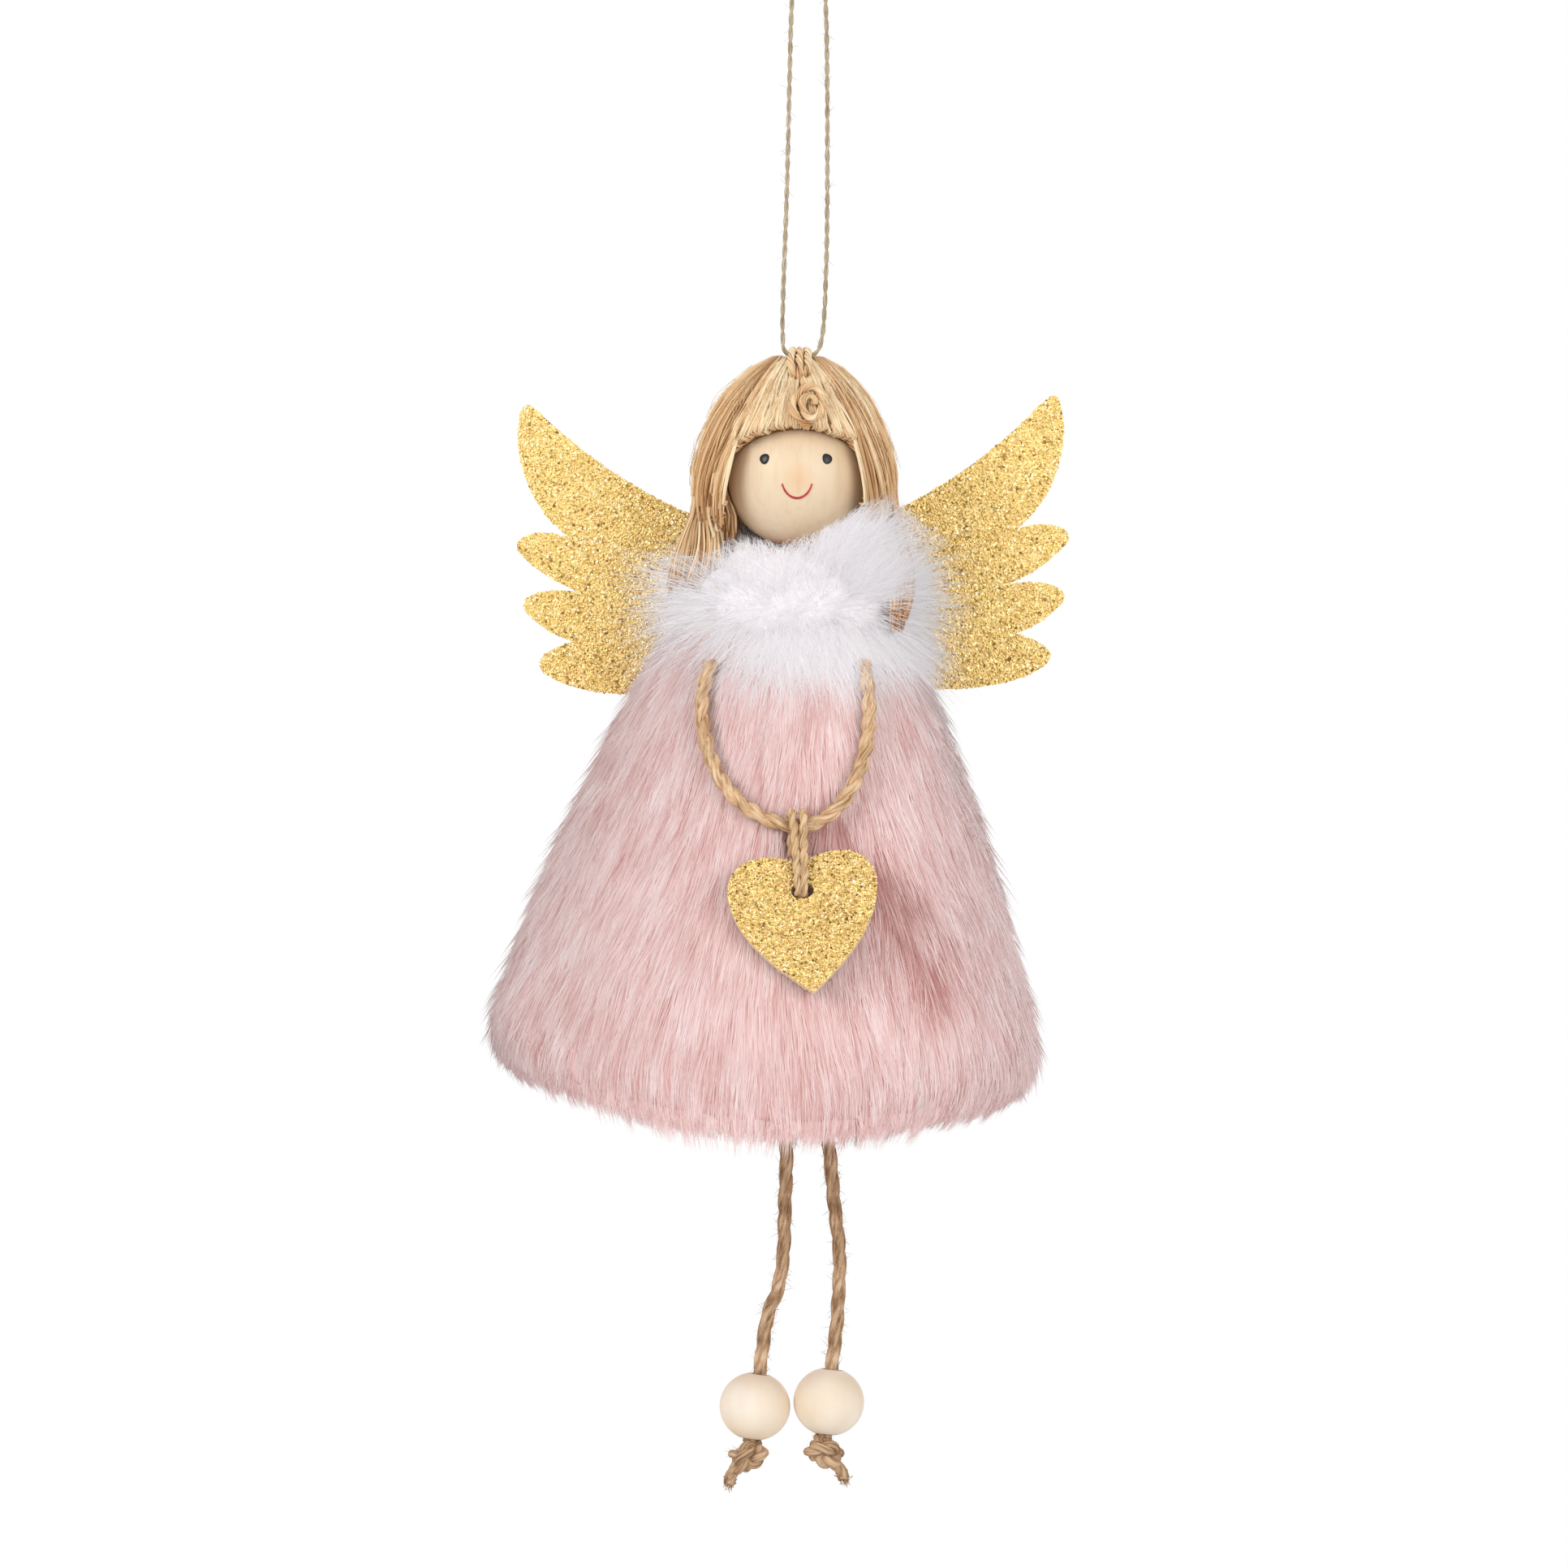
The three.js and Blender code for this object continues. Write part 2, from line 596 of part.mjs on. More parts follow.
// Wings
const wingShape = new THREE.Shape();
wingShape.moveTo(0, WING_TOP);
wingShape.lineTo(...LEADING.root);
wingShape.quadraticCurveTo(...LEADING.bend, ...LEADING.end);
wingShape.quadraticCurveTo(...PRIMARY.crown, ...PRIMARY.end);
wingShape.bezierCurveTo(...PRIMARY.outer, ...PRIMARY.inner, ...FEATHERS[0].notch);
FEATHERS.forEach((feather, k) => {
  const next = k + 1 < FEATHERS.length ? FEATHERS[k + 1].notch : LAST_NOTCH;
  wingShape.quadraticCurveTo(...feather.over, ...feather.top);
  wingShape.quadraticCurveTo(...feather.tip, ...feather.low);
  wingShape.quadraticCurveTo(...feather.under, ...next);
});
wingShape.lineTo(0, WING_FOOT);
const wingOutline = bothSides(wingShape.getPoints(6));
const wings = new THREE.ExtrudeGeometry(wingOutline, { depth: WING_T, bevelEnabled: false })
  .rotateZ(WING_TURN)
  .rotateX(Math.PI / 2)
  .translate(WING_X, WING_Y + WING_T, WING_Z);
place('wings', wings, GLITTER);
const glueY = WING_Y - GAP - GLUE_T / 2;
const glue = new THREE.CylinderGeometry(GLUE_R, GLUE_R, GLUE_T, 24).translate(WING_X, glueY, GLUE_Z);
place('wing_glue', glue, GLUE);

// The plush lies flat under the wings and gives way behind the heart's tie.
const flatY = WING_Y - 2 * GAP - GLUE_T;
const flatFoot = WING_Z + WING_FOOT - PRESS_BELOW;
const press = 1.25 * PRIMARY.outer[0];
const underWings = new THREE.BoxGeometry(2 * press, press, press)
  .translate(0, flatY + press / 2, flatFoot + press / 2);
const dimpleR = tieHalf + TIE_R + GAP;
const dimpleLong = TIE_TURNS * tiePitch + 2 * TIE_R + 4 * GAP;
const dimple = new THREE.CylinderGeometry(dimpleR, dimpleR, dimpleLong, 20)
  .rotateZ(Math.PI / 2)
  .translate(ARM_X, hingeY, hingeZ);
const slotWide = TIE_TURNS * tiePitch + 2 * (TIE_R + GAP);
const slotLong = TIE_DROP + TIE_R + 2 * GAP;
const tieRoom = new THREE.BoxGeometry(slotWide, slotLong, 2 * dimpleR)
  .translate(0, -slotLong / 2, 0)
  .applyMatrix4(heartFrame);
const dress = solidOf(thickSheet(plushOuter, plushInner, 36, PLUSH_ROWS, true))
  .subtract(solidOf(underWings))
  .subtract(solidOf(dimple))
  .subtract(solidOf(tieRoom));
place('dress', geometryOf(dress), PLUSH);

// Collar, pressed round the head, the locks, the shoulders of the dress and the wings
const collarRings = [];
for (let i = 0; i < 42; i += 1) {
  const angle = (2 * Math.PI * i) / 42;
  const ring = [];
  for (let k = 0; k < 14; k += 1) {
    const roll = (2 * Math.PI * k) / 14;
    const lump = COLLAR_LUMP * Math.sin(COLLAR_LOBES * angle) * Math.cos(roll * 2 + angle);
    const across = (COLLAR_TUBE[0] + lump) * Math.cos(roll);
    const x = (COLLAR_RING[0] + across) * Math.cos(angle);
    const y = (COLLAR_RING[1] + across) * Math.sin(angle);
    const z = COLLAR_Z + y * COLLAR_TILT - (COLLAR_TUBE[1] + lump) * Math.sin(roll);
    ring.push(new THREE.Vector3(x, y, z));
  }
  collarRings.push(ring);
}
const behindCollar = new THREE.BoxGeometry(2 * press, press, 2 * press)
  .translate(0, WING_Y - GAP + press / 2, COLLAR_Z);
const headRoom = new THREE.SphereGeometry(HEAD_R + GAP, 32, 20).translate(0, 0, HEAD_Z);
const armRoom = tube(armPath, CORD_R + GAP, 36);
const roomEdge = (angle) => crownEdge(angle) - 2 * GAP;
const crownRoom = hairPiece(crownFrom - partGap, crownTo + partGap, roomEdge, 32, 9, GAP);
const collar = solidOf(loft(collarRings, true))
  .subtract(solidOf(behindCollar))
  .subtract(solidOf(headRoom))
  .subtract(solidOf(lock(LEFT_LOCK, GAP)))
  .subtract(solidOf(lock(RIGHT_LOCK, GAP)))
  .subtract(solidOf(crownRoom))
  .subtract(solidOf(armRoom))
  .subtract(solidOf(shoulders(GAP)));
place('collar', geometryOf(collar), PLUME);

// Legs
for (const leg of LEGS) {
  const [beadX, beadZ] = leg.bead;
  const along = new THREE.Vector3(Math.sin(leg.tilt), 0, Math.cos(leg.tilt));
  const beadMiddle = new THREE.Vector3(beadX, 0, beadZ);
  const onLeg = (distance) => beadMiddle.clone().addScaledVector(along, distance).toArray();
  const upper = through([
    [leg.hitch, 0, HITCH_Z - HITCH_R],
    [(leg.hitch * 2 + leg.hip) / 3, 0, (HITCH_Z * 2 + HIP_Z) / 3],
    [leg.hip, 0, HIP_Z + CORD_R + GAP],
  ]);
  place(`leg_${leg.side}_upper`, tube(upper, CORD_R, 14), DARK_JUTE);
  const knotTop = -BEAD_HALF - GAP;
  const lower = through([
    [leg.hip, 0, HIP_Z],
    [leg.bend[0], 0, leg.bend[1]],
    onLeg(BEAD_RUN),
    onLeg(BEAD_HALF),
    onLeg(knotTop),
  ]);
  const hipRound = new THREE.SphereGeometry(CORD_R, 10, 8).translate(leg.hip, 0, HIP_Z);
  const swinging = solidOf(tube(lower, CORD_R, 20)).add(solidOf(hipRound));
  place(`leg_${leg.side}_cord`, geometryOf(swinging), DARK_JUTE);
  const bead = ball(BEAD_R, BEAD_HALF, BEAD_BORE_R, 12, 24).rotateY(leg.tilt).translate(beadX, 0, beadZ);
  place(`foot_bead_${leg.side}`, bead, PALE_WOOD);

  const knotMiddle = -KNOT_YARN_R - KNOT_RING * Math.sin(KNOT_TILT) - GAP;
  let knot = solidOf(rod(0, 0, -GAP, knotMiddle - 2 * KNOT_STEP, CORD_R, 10));
  for (const turn of [0, 1]) {
    const ring = new THREE.TorusGeometry(KNOT_RING, KNOT_YARN_R, 8, 16)
      .rotateX((turn ? -1 : 1) * KNOT_TILT)
      .rotateY((turn ? -1 : 1) * KNOT_TILT * 0.6)
      .translate(0, 0, knotMiddle - turn * KNOT_STEP);
    knot = knot.add(solidOf(ring));
  }
  const [tailX, tailZ] = leg.tail;
  const tail = tube(through([
    [tailX * 0.35, 0, knotMiddle - KNOT_STEP],
    [tailX * 0.75, 0, knotMiddle - KNOT_STEP + tailZ * 0.45],
    [tailX, 0, knotMiddle - KNOT_STEP + tailZ],
  ]), CORD_R * 0.85, 5);
  knot = knot.add(solidOf(tail));
  const [footX, , footZ] = onLeg(knotTop);
  const footKnot = geometryOf(knot).rotateY(leg.tilt).translate(footX, 0, footZ);
  place(`foot_knot_${leg.side}`, footKnot, DARK_JUTE);
}

export default group;
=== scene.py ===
import math

import bpy
import numpy as np
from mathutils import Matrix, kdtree


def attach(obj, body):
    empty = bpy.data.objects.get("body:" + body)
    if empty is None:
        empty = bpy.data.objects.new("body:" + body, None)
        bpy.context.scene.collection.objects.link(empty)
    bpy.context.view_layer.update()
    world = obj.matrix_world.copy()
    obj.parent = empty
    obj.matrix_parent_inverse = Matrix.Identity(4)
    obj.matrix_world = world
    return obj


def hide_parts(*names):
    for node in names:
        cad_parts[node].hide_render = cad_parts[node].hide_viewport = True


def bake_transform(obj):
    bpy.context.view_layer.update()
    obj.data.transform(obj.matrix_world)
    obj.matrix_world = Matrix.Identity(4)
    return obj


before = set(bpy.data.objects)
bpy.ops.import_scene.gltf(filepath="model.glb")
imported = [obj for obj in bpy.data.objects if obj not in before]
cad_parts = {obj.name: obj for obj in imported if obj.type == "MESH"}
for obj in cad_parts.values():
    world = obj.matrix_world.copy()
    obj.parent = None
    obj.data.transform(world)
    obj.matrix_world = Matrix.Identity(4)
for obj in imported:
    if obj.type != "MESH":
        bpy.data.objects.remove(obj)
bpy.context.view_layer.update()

# Studio: the doll hangs in front of white, seen level through a long lens. A small round white
# floor lies under the feet. A broad lamp, a fill, a lamp behind and the sky light it evenly.
MM = 0.001
VIEW_MIDDLE = (-4.28, -143.64)
VIEW_ACROSS = 270.5
CAMERA_AWAY = 2400
FLOOR_R = 260
FLOOR_Z = -300
SKY_STRENGTH = 0.67
WHITE = (1, 1, 1)


def placed(name, data):
    thing = bpy.data.objects.new(name, data)
    bpy.context.scene.collection.objects.link(thing)
    return thing


lens = bpy.data.cameras.new("camera")
lens.sensor_width = 36
lens.lens = lens.sensor_width * CAMERA_AWAY / VIEW_ACROSS
lens.clip_start = 0.05
camera = placed("camera", lens)
camera.location = (VIEW_MIDDLE[0] * MM, -CAMERA_AWAY * MM, VIEW_MIDDLE[1] * MM)
camera.rotation_euler = (math.pi / 2, 0, 0)
bpy.context.scene.camera = camera
bpy.context.scene.view_settings.view_transform = "Standard"
for name, spot, size, power in (("key", (-1.15, -1.05, 0.40), 0.8, 10.2),
                                ("fill", (0.95, -1.20, 0.05), 1.0, 7.4),
                                ("rear", (0.3, 1.5, 0.40), 1.0, 7.0)):
    light = bpy.data.lights.new(name, "AREA")
    light.size = size
    light.energy = power
    lamp = placed(name, light)
    lamp.location = spot
    middle = camera.location * 1.0
    middle.y = 0
    lamp.rotation_euler = (middle - lamp.location).to_track_quat("-Z", "Y").to_euler()


def reckoned(net, how, first, second):
    """A sum or a test on values, kept between none and one."""
    node = net.nodes.new("ShaderNodeMath")
    node.operation = how
    node.use_clamp = True
    net.links.new(first, node.inputs[0])
    if isinstance(second, float):
        node.inputs[1].default_value = second
    else:
        net.links.new(second, node.inputs[1])
    return node.outputs[0]


sky = bpy.data.worlds.new("studio")
sky.use_nodes = True
bpy.context.scene.world = sky
net = sky.node_tree
glow = net.nodes["Background"]
backdrop = net.nodes.new("ShaderNodeBackground")
for source, strength in ((glow, SKY_STRENGTH), (backdrop, 1.0)):
    source.inputs["Color"].default_value = WHITE + (1,)
    source.inputs["Strength"].default_value = strength
ray = net.nodes.new("ShaderNodeLightPath").outputs
mirrored = reckoned(net, "ADD", ray["Is Glossy Ray"], ray["Is Transmission Ray"])
either = net.nodes.new("ShaderNodeMixShader")
net.links.new(reckoned(net, "ADD", ray["Is Camera Ray"], mirrored), either.inputs[0])
net.links.new(glow.outputs[0], either.inputs[1])
net.links.new(backdrop.outputs[0], either.inputs[2])
net.links.new(either.outputs[0], net.nodes["World Output"].inputs["Surface"])


def linear(*shade):
    """A colour as seen on a screen, as the light it stands for."""
    return tuple(c / 12.92 if c <= 0.04045 else ((c + 0.055) / 1.055) ** 2.4 for c in shade) + (1.0,)


def finish(name, roughness, specular=0.3):
    material = bpy.data.materials.new(name)
    material.use_nodes = True
    shader = material.node_tree.nodes["Principled BSDF"]
    shader.inputs["Roughness"].default_value = roughness
    shader.inputs["Specular IOR Level"].default_value = specular
    return material, material.node_tree, shader


def ramp(net, source, stops):
    """Colours along a value, as (place, screen colour)."""
    node = net.nodes.new("ShaderNodeValToRGB")
    node.color_ramp.elements.remove(node.color_ramp.elements[1])
    for k, (place, shade) in enumerate(stops):
        stop = node.color_ramp.elements[0] if k == 0 else node.color_ramp.elements.new(place)
        stop.position = place
        stop.color = linear(*shade)
    net.links.new(source, node.inputs["Fac"])
    return node.outputs["Color"]


def noise(net, source, scale, stretch=(1, 1, 1), detail=3.0):
    spread = net.nodes.new("ShaderNodeMapping")
    spread.inputs["Scale"].default_value = stretch
    node = net.nodes.new("ShaderNodeTexNoise")
    node.inputs["Scale"].default_value = scale
    node.inputs["Detail"].default_value = detail
    net.links.new(source, spread.inputs["Vector"])
    net.links.new(spread.outputs["Vector"], node.inputs["Vector"])
    return node.outputs["Fac"]


def bumped(net, shader, height, strength, depth):
    node = net.nodes.new("ShaderNodeBump")
    node.inputs["Strength"].default_value = strength
    node.inputs["Distance"].default_value = depth * MM
    net.links.new(height, node.inputs["Height"])
    net.links.new(node.outputs["Normal"], shader.inputs["Normal"])


def coloured(net, shader, colour):
    net.links.new(colour, shader.inputs["Base Color"])


def place_on(net):
    return net.nodes.new("ShaderNodeTexCoord").outputs["Object"]


def mottled(name, roughness, specular, scale, stops, stretch=(1, 1, 1), detail=3.0, bump=None,
            chart=place_on):
    """A plain finish with a fine mottle in its colour and, where bump is (strength, depth), in its face."""
    material, net, shader = finish(name, roughness, specular)
    grain = noise(net, chart(net), scale, stretch, detail)
    coloured(net, shader, ramp(net, grain, stops))
    if bump:
        bumped(net, shader, grain, *bump)
    return material


floor_white = mottled("floor_white", 0.9, 0.3, 9, [(0.3, (0.95, 0.95, 0.95)), (0.7, (0.97, 0.97, 0.97))])
bpy.ops.mesh.primitive_circle_add(vertices=96, radius=FLOOR_R * MM, fill_type="NGON",
                                  location=(0, 0, FLOOR_Z * MM))
floor = bpy.context.object
floor.name = "floor"
floor.data.materials.append(floor_white)

# Hanging loop: thin grey-brown jute twine of two plies, held at the crown by both ends.
# Both strands run up out of the picture and close in a small bend over the hook.
AXIS_X = -1.9
HEAD_Z = -90.3
TWINE_R = 0.42
CROWN_Z = HEAD_Z + 20.4
WRAP_X = 0.3
LOOP_HALF = 2.9
STRAND_LEFT, STRAND_RIGHT = -2.6, 4.2
FIBRE_TAPER = np.array([1, 0.9, 0.7, 0.4])


def run_along(line):
    """The length of a line up to each of its points."""
    return np.concatenate([[0], np.cumsum(np.linalg.norm(np.diff(line, axis=0), axis=1))])


def path_length(line):
    return float(run_along(line)[-1])


def smooth_path(points, step):
    """A smooth line through the points, as even steps of about that length."""
    p = np.asarray(points, float)
    p = np.vstack([2 * p[0] - p[1], p, 2 * p[-1] - p[-2]])
    line = []
    for a, b, c, d in zip(p[:-3], p[1:-2], p[2:-1], p[3:]):
        t0, t1, t2 = [max(np.linalg.norm(v) ** 0.5, 1e-4) for v in (b - a, c - b, d - c)]
        m1 = ((b - a) / t0 - (c - a) / (t0 + t1) + (c - b) / t1) * t1
        m2 = ((c - b) / t1 - (d - b) / (t1 + t2) + (d - c) / t2) * t1
        t = np.linspace(0, 1, 24, endpoint=False)[:, None]
        line.append((2 * t**3 - 3 * t**2 + 1) * b + (t**3 - 2 * t**2 + t) * m1
                    + (3 * t**2 - 2 * t**3) * c + (t**3 - t**2) * m2)
    line = np.vstack(line + [p[-2:-1]])
    run = run_along(line)
    even = np.linspace(0, run[-1], max(int(round(run[-1] / step)), 2) + 1)
    return np.stack([np.interp(even, run, line[:, k]) for k in range(3)], axis=1)


def unit(v):
    return v / np.maximum(np.linalg.norm(v, axis=-1, keepdims=True), 1e-12)


def sweep(name, lines, radii, sides, tones, material, pointed=False, cell=0.03, unroll=None, lie=None):
    """One mesh of closed tubes, one along each line. The Strand map holds tone across and root to tip up.
    Downy fibres let the light through to each other, so they cast no shadow and are shaded mostly along
    the outward way of their pile, given as lie."""
    lines = np.asarray(lines, float)
    n, k, _ = lines.shape
    radii = np.broadcast_to(radii, (n, k))
    along = unit(np.gradient(lines, axis=1))
    side = np.cross(along[:, 0], np.where(np.abs(along[:, 0, 2:]) < 0.8, [[0, 0, 1.0]], [[0, 1.0, 0]]))
    turns = 2 * np.pi * np.arange(sides) / sides
    rings = np.empty((n, k, sides, 3))
    for j in range(k):
        side = unit(side - along[:, j] * (side * along[:, j]).sum(1, keepdims=True))
        other = np.cross(along[:, j], side)
        spoke = np.cos(turns)[:, None] * side[:, None] + np.sin(turns)[:, None] * other[:, None]
        rings[:, j] = lines[:, j, None] + radii[:, j, None, None] * spoke
    whole = k - 1 if pointed else k
    points = rings[:, :whole].reshape(n, whole * sides, 3)
    if pointed:
        points = np.concatenate([points, lines[:, -1:]], axis=1)
    faces, marks = [], []
    for j in range(whole - 1):
        for m in range(sides):
            a, b = j * sides + m, j * sides + (m + 1) % sides
            here, there = j / (k - 1), (j + 1) / (k - 1)
            faces += [(a, b, b + sides), (a, b + sides, a + sides)]
            marks += [[(m, here), (m + 1, here), (m + 1, there)], [(m, here), (m + 1, there), (m, there)]]
    last = (whole - 1) * sides
    for m in range(1, sides - 1):
        faces.append((0, m + 1, m))
        marks.append([(0, 0), (m + 1, 0), (m, 0.01)])
        if not pointed:
            faces.append((last, last + m, last + m + 1))
            marks.append([(0, 1), (m, 1), (m + 1, 0.99)])
    if pointed:
        for m in range(sides):
            faces.append((last + m, last + (m + 1) % sides, whole * sides))
            marks.append([(m, (k - 2) / (k - 1)), (m + 1, (k - 2) / (k - 1)), (m + 0.5, 1)])
    per = points.shape[1]
    faces = (np.array(faces)[None] + per * np.arange(n)[:, None, None]).reshape(-1, 3)
    marks = np.array(marks, float)[None]
    tones = np.broadcast_to(np.asarray(tones, float), (n,))[:, None, None]
    across = tones * (1 - cell) + cell * marks[..., 0] / sides
    strand = np.stack([across, np.broadcast_to(marks[..., 1], across.shape)], axis=-1).reshape(-1, 2)
    mesh = bpy.data.meshes.new(name)
    mesh.vertices.add(n * per)
    mesh.vertices.foreach_set("co", (points.reshape(-1) * MM).astype(np.float32))
    mesh.loops.add(faces.size)
    mesh.loops.foreach_set("vertex_index", faces.reshape(-1).astype(np.int32))
    mesh.polygons.add(len(faces))
    mesh.polygons.foreach_set("loop_start", np.arange(0, faces.size, 3, dtype=np.int32))
    mesh.update(calc_edges=True)
    mesh.polygons.foreach_set("use_smooth", np.ones(len(faces), bool))
    for title in ("Strand", "OFBake"):
        layer = mesh.uv_layers.new(name=title)
        spots = strand if unroll is None or title == "OFBake" else strand * unroll
        layer.data.foreach_set("uv", spots.reshape(-1).astype(np.float32))
    mesh.materials.append(material)
    mesh.validate()
    if lie is not None:
        shade = unit(0.18 * unit(rings - lines[:, :, None]) + 0.82 * lie[:, None, None])
        shade = np.concatenate([shade[:, :whole].reshape(n, -1, 3), lie[:, None]], axis=1)
        mesh.attributes.new("custom_normal", "FLOAT_VECTOR", "POINT").data.foreach_set(
            "vector", shade.reshape(-1).astype(np.float32))
    piece = placed(name, mesh)
    piece.visible_shadow = lie is None
    return piece


def plies(line, radius, count, pitch):
    """The lines of the plies of a laid cord, wound round its middle line."""
    along = unit(np.gradient(line, axis=0))
    side = np.cross(along[0], [0, 1, 0] if abs(along[0][1]) < 0.8 else [1, 0, 0])
    sides = []
    for a in along:
        side = unit(side - a * (side @ a))
        sides.append(side)
    sides = np.array(sides)
    others = np.cross(along, sides)
    turn = 2 * np.pi * run_along(line) / pitch + 2 * np.pi * np.arange(count)[:, None] / count
    return line + radius * (np.cos(turn)[..., None] * sides + np.sin(turn)[..., None] * others)


def cord_piece(name, line, radius, pitch, material, count=2, sides=8, snug=0.0):
    """A laid cord: plies side by side, each a little fatter here and thinner there."""
    wound = plies(line, ((0.42 if count == 2 else 0.38) - snug) * radius, count, pitch)
    swell = 1 + 0.07 * np.sin(np.arange(len(line)) * 0.37 + np.arange(count)[:, None] * 2.1)
    return sweep(name, wound, (0.60 + snug) * radius * swell, sides, np.arange(count) / count, material,
                 cell=1 / count - 0.01, unroll=(1, path_length(line) / 10))


def fuzz(name, line, radius, count, reach, stout, material):
    """Short stray fibres that stand off a cord."""
    spot = rng.integers(1, len(line) - 1, count)
    along = unit(np.gradient(line, axis=0))[spot]
    out = unit(np.cross(along, rng.normal(size=(count, 3))))
    lean = rng.choice([-1, 1], (count, 1)) * rng.uniform(0.5, 1.6, (count, 1))
    way = unit(out + lean * along)
    size = reach * rng.uniform(0.4, 1.0, (count, 1))
    curl = unit(rng.normal(size=(count, 3))) * size * 0.3
    root = line[spot] + out * radius * 0.7
    t = np.linspace(0, 1, 4)[None, :, None]
    lines = root[:, None] + (way * size)[:, None] * t + curl[:, None] * t**2
    return sweep(name, lines, stout * FIBRE_TAPER, 3, rng.random(count), material, pointed=True)


def mixed(net, first, second, how="MULTIPLY", amount=1.0):
    node = net.nodes.new("ShaderNodeMix")
    node.data_type = "RGBA"
    node.blend_type = how
    if isinstance(amount, float):
        node.inputs["Factor"].default_value = amount
    else:
        net.links.new(amount, node.inputs["Factor"])
    net.links.new(first, node.inputs["A"])
    net.links.new(second, node.inputs["B"])
    return node.outputs["Result"]


def strand_chart(net):
    chart = net.nodes.new("ShaderNodeUVMap")
    chart.uv_map = "Strand"
    return chart.outputs["UV"]


def jute_finish(name, dark, middle, light):
    """Bast fibre twisted into yarn: long pale and brown streaks that follow the twist."""
    material, net, shader = finish(name, 0.8, 0.2)
    streak = noise(net, strand_chart(net), 6, (3.4, 0.5, 1), 5)
    patch = noise(net, strand_chart(net), 1.2, (1, 2.5, 1), 2)
    fibre = ramp(net, streak, [(0.3, dark), (0.5, middle), (0.72, light)])
    age = ramp(net, patch, [(0.3, (0.86, 0.84, 0.8)), (0.65, WHITE)])
    coloured(net, shader, mixed(net, fibre, age))
    bumped(net, shader, streak, 0.8, 0.3)
    return material


def fitted(piece, body, slot, *nodes):
    """Fix a piece to its body and hide the solids it stands for; its slot is not used."""
    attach(piece, body)
    if nodes:
        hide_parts(*nodes)
    return piece


twine_finish = jute_finish("twine", (0.60, 0.53, 0.43), (0.80, 0.73, 0.62), (0.92, 0.87, 0.79))
loop_line = smooth_path(np.array([
    [WRAP_X - 0.25, 0, CROWN_Z],
    [WRAP_X - 1.5, 0, CROWN_Z + 0.05],
    [STRAND_LEFT + 0.25, 0, CROWN_Z + 1.2],
    [STRAND_LEFT, 0, CROWN_Z + 3.5],
    [STRAND_LEFT + 0.8, 0, CROWN_Z * 0.55],
    [-AXIS_X - LOOP_HALF, 0, -8.4],
    [-AXIS_X - LOOP_HALF * 0.82, 0, -LOOP_HALF * 0.72],
    [-AXIS_X, 0, TWINE_R],
    [-AXIS_X + LOOP_HALF * 0.82, 0, -LOOP_HALF * 0.72],
    [-AXIS_X + LOOP_HALF, 0, -8.4],
    [STRAND_RIGHT + 0.75, 0, CROWN_Z * 0.75],
    [STRAND_RIGHT, 0, CROWN_Z + 3.5],
    [STRAND_RIGHT - 0.7, 0, CROWN_Z + 1.1],
    [WRAP_X + 1.9, 0, CROWN_Z + 0.05],
    [WRAP_X + 0.25, 0, CROWN_Z],
]) + [AXIS_X, 0, 0], 0.25)
rng = np.random.default_rng(3)
twine = fitted(cord_piece("hang_loop_twine", loop_line, TWINE_R, 5.0, twine_finish, sides=6),
               "hang", "twine", "hang_loop")
twine_fuzz = fuzz("hang_loop_fuzz", loop_line, TWINE_R, 160, 1.6, 0.028, twine_finish)
fitted(twine_fuzz, "hang", "twine")

# Dress: plush with a long pink pile on a knitted back, sewn to a cone and pulled over the card.
# The pile lies down and out from the neck, in small locks with pale tips, and hangs past the hem.
HEAD_R = 12.5
GAP = 0.3
NECK_Z = HEAD_Z - HEAD_R - GAP
LEAN = math.radians(3.7)
DRESS_X = -0.3
DEPTH = 0.78
PILE_S = 84
HEM_S = 93
HEM_ROOM = 3.5
CLOTH_S = 83
CLOTH_SLOPE = 0.42


def pile_half(s):
    s = np.asarray(s, float)
    flank = 13.1 + 0.564 * s - 0.00184 * s * s
    t = np.clip(s / 18, 0, 1)
    return 8.5 + (flank - 8.5) * t * t * (3 - 2 * t)


def cloth_half(s):
    return 2.6 + CLOTH_SLOPE * s


def on_dress(angle, half, s):
    across = half * np.cos(angle)
    down = s * (1 + 0.1 * np.sin(angle) ** 2 * (s / HEM_S) ** 2)
    return np.stack([AXIS_X + DRESS_X + across * math.cos(LEAN) - down * math.sin(LEAN),
                     DEPTH * half * np.sin(angle),
                     NECK_Z - down * math.cos(LEAN) - across * math.sin(LEAN)], axis=-1)


def pile_front(x, z):
    """The front of the pile at a place in the front view."""
    right, below = x - AXIS_X - DRESS_X, NECK_Z - z
    down = below * math.cos(LEAN) - right * math.sin(LEAN)
    across = right * math.cos(LEAN) + below * math.sin(LEAN)
    s, share = down, 1.0
    for _ in range(6):
        share = max(1 - (across / float(pile_half(s))) ** 2, 0)
        s = down / (1 + 0.1 * share * (s / HEM_S) ** 2)
    return -DEPTH * float(pile_half(s)) * math.sqrt(share)


def solid(name, points, faces, material):
    mesh = bpy.data.meshes.new(name)
    mesh.from_pydata((np.asarray(points) * MM).tolist(), [], faces)
    mesh.polygons.foreach_set("use_smooth", np.ones(len(faces), bool))
    mesh.materials.append(material)
    return placed(name, mesh)


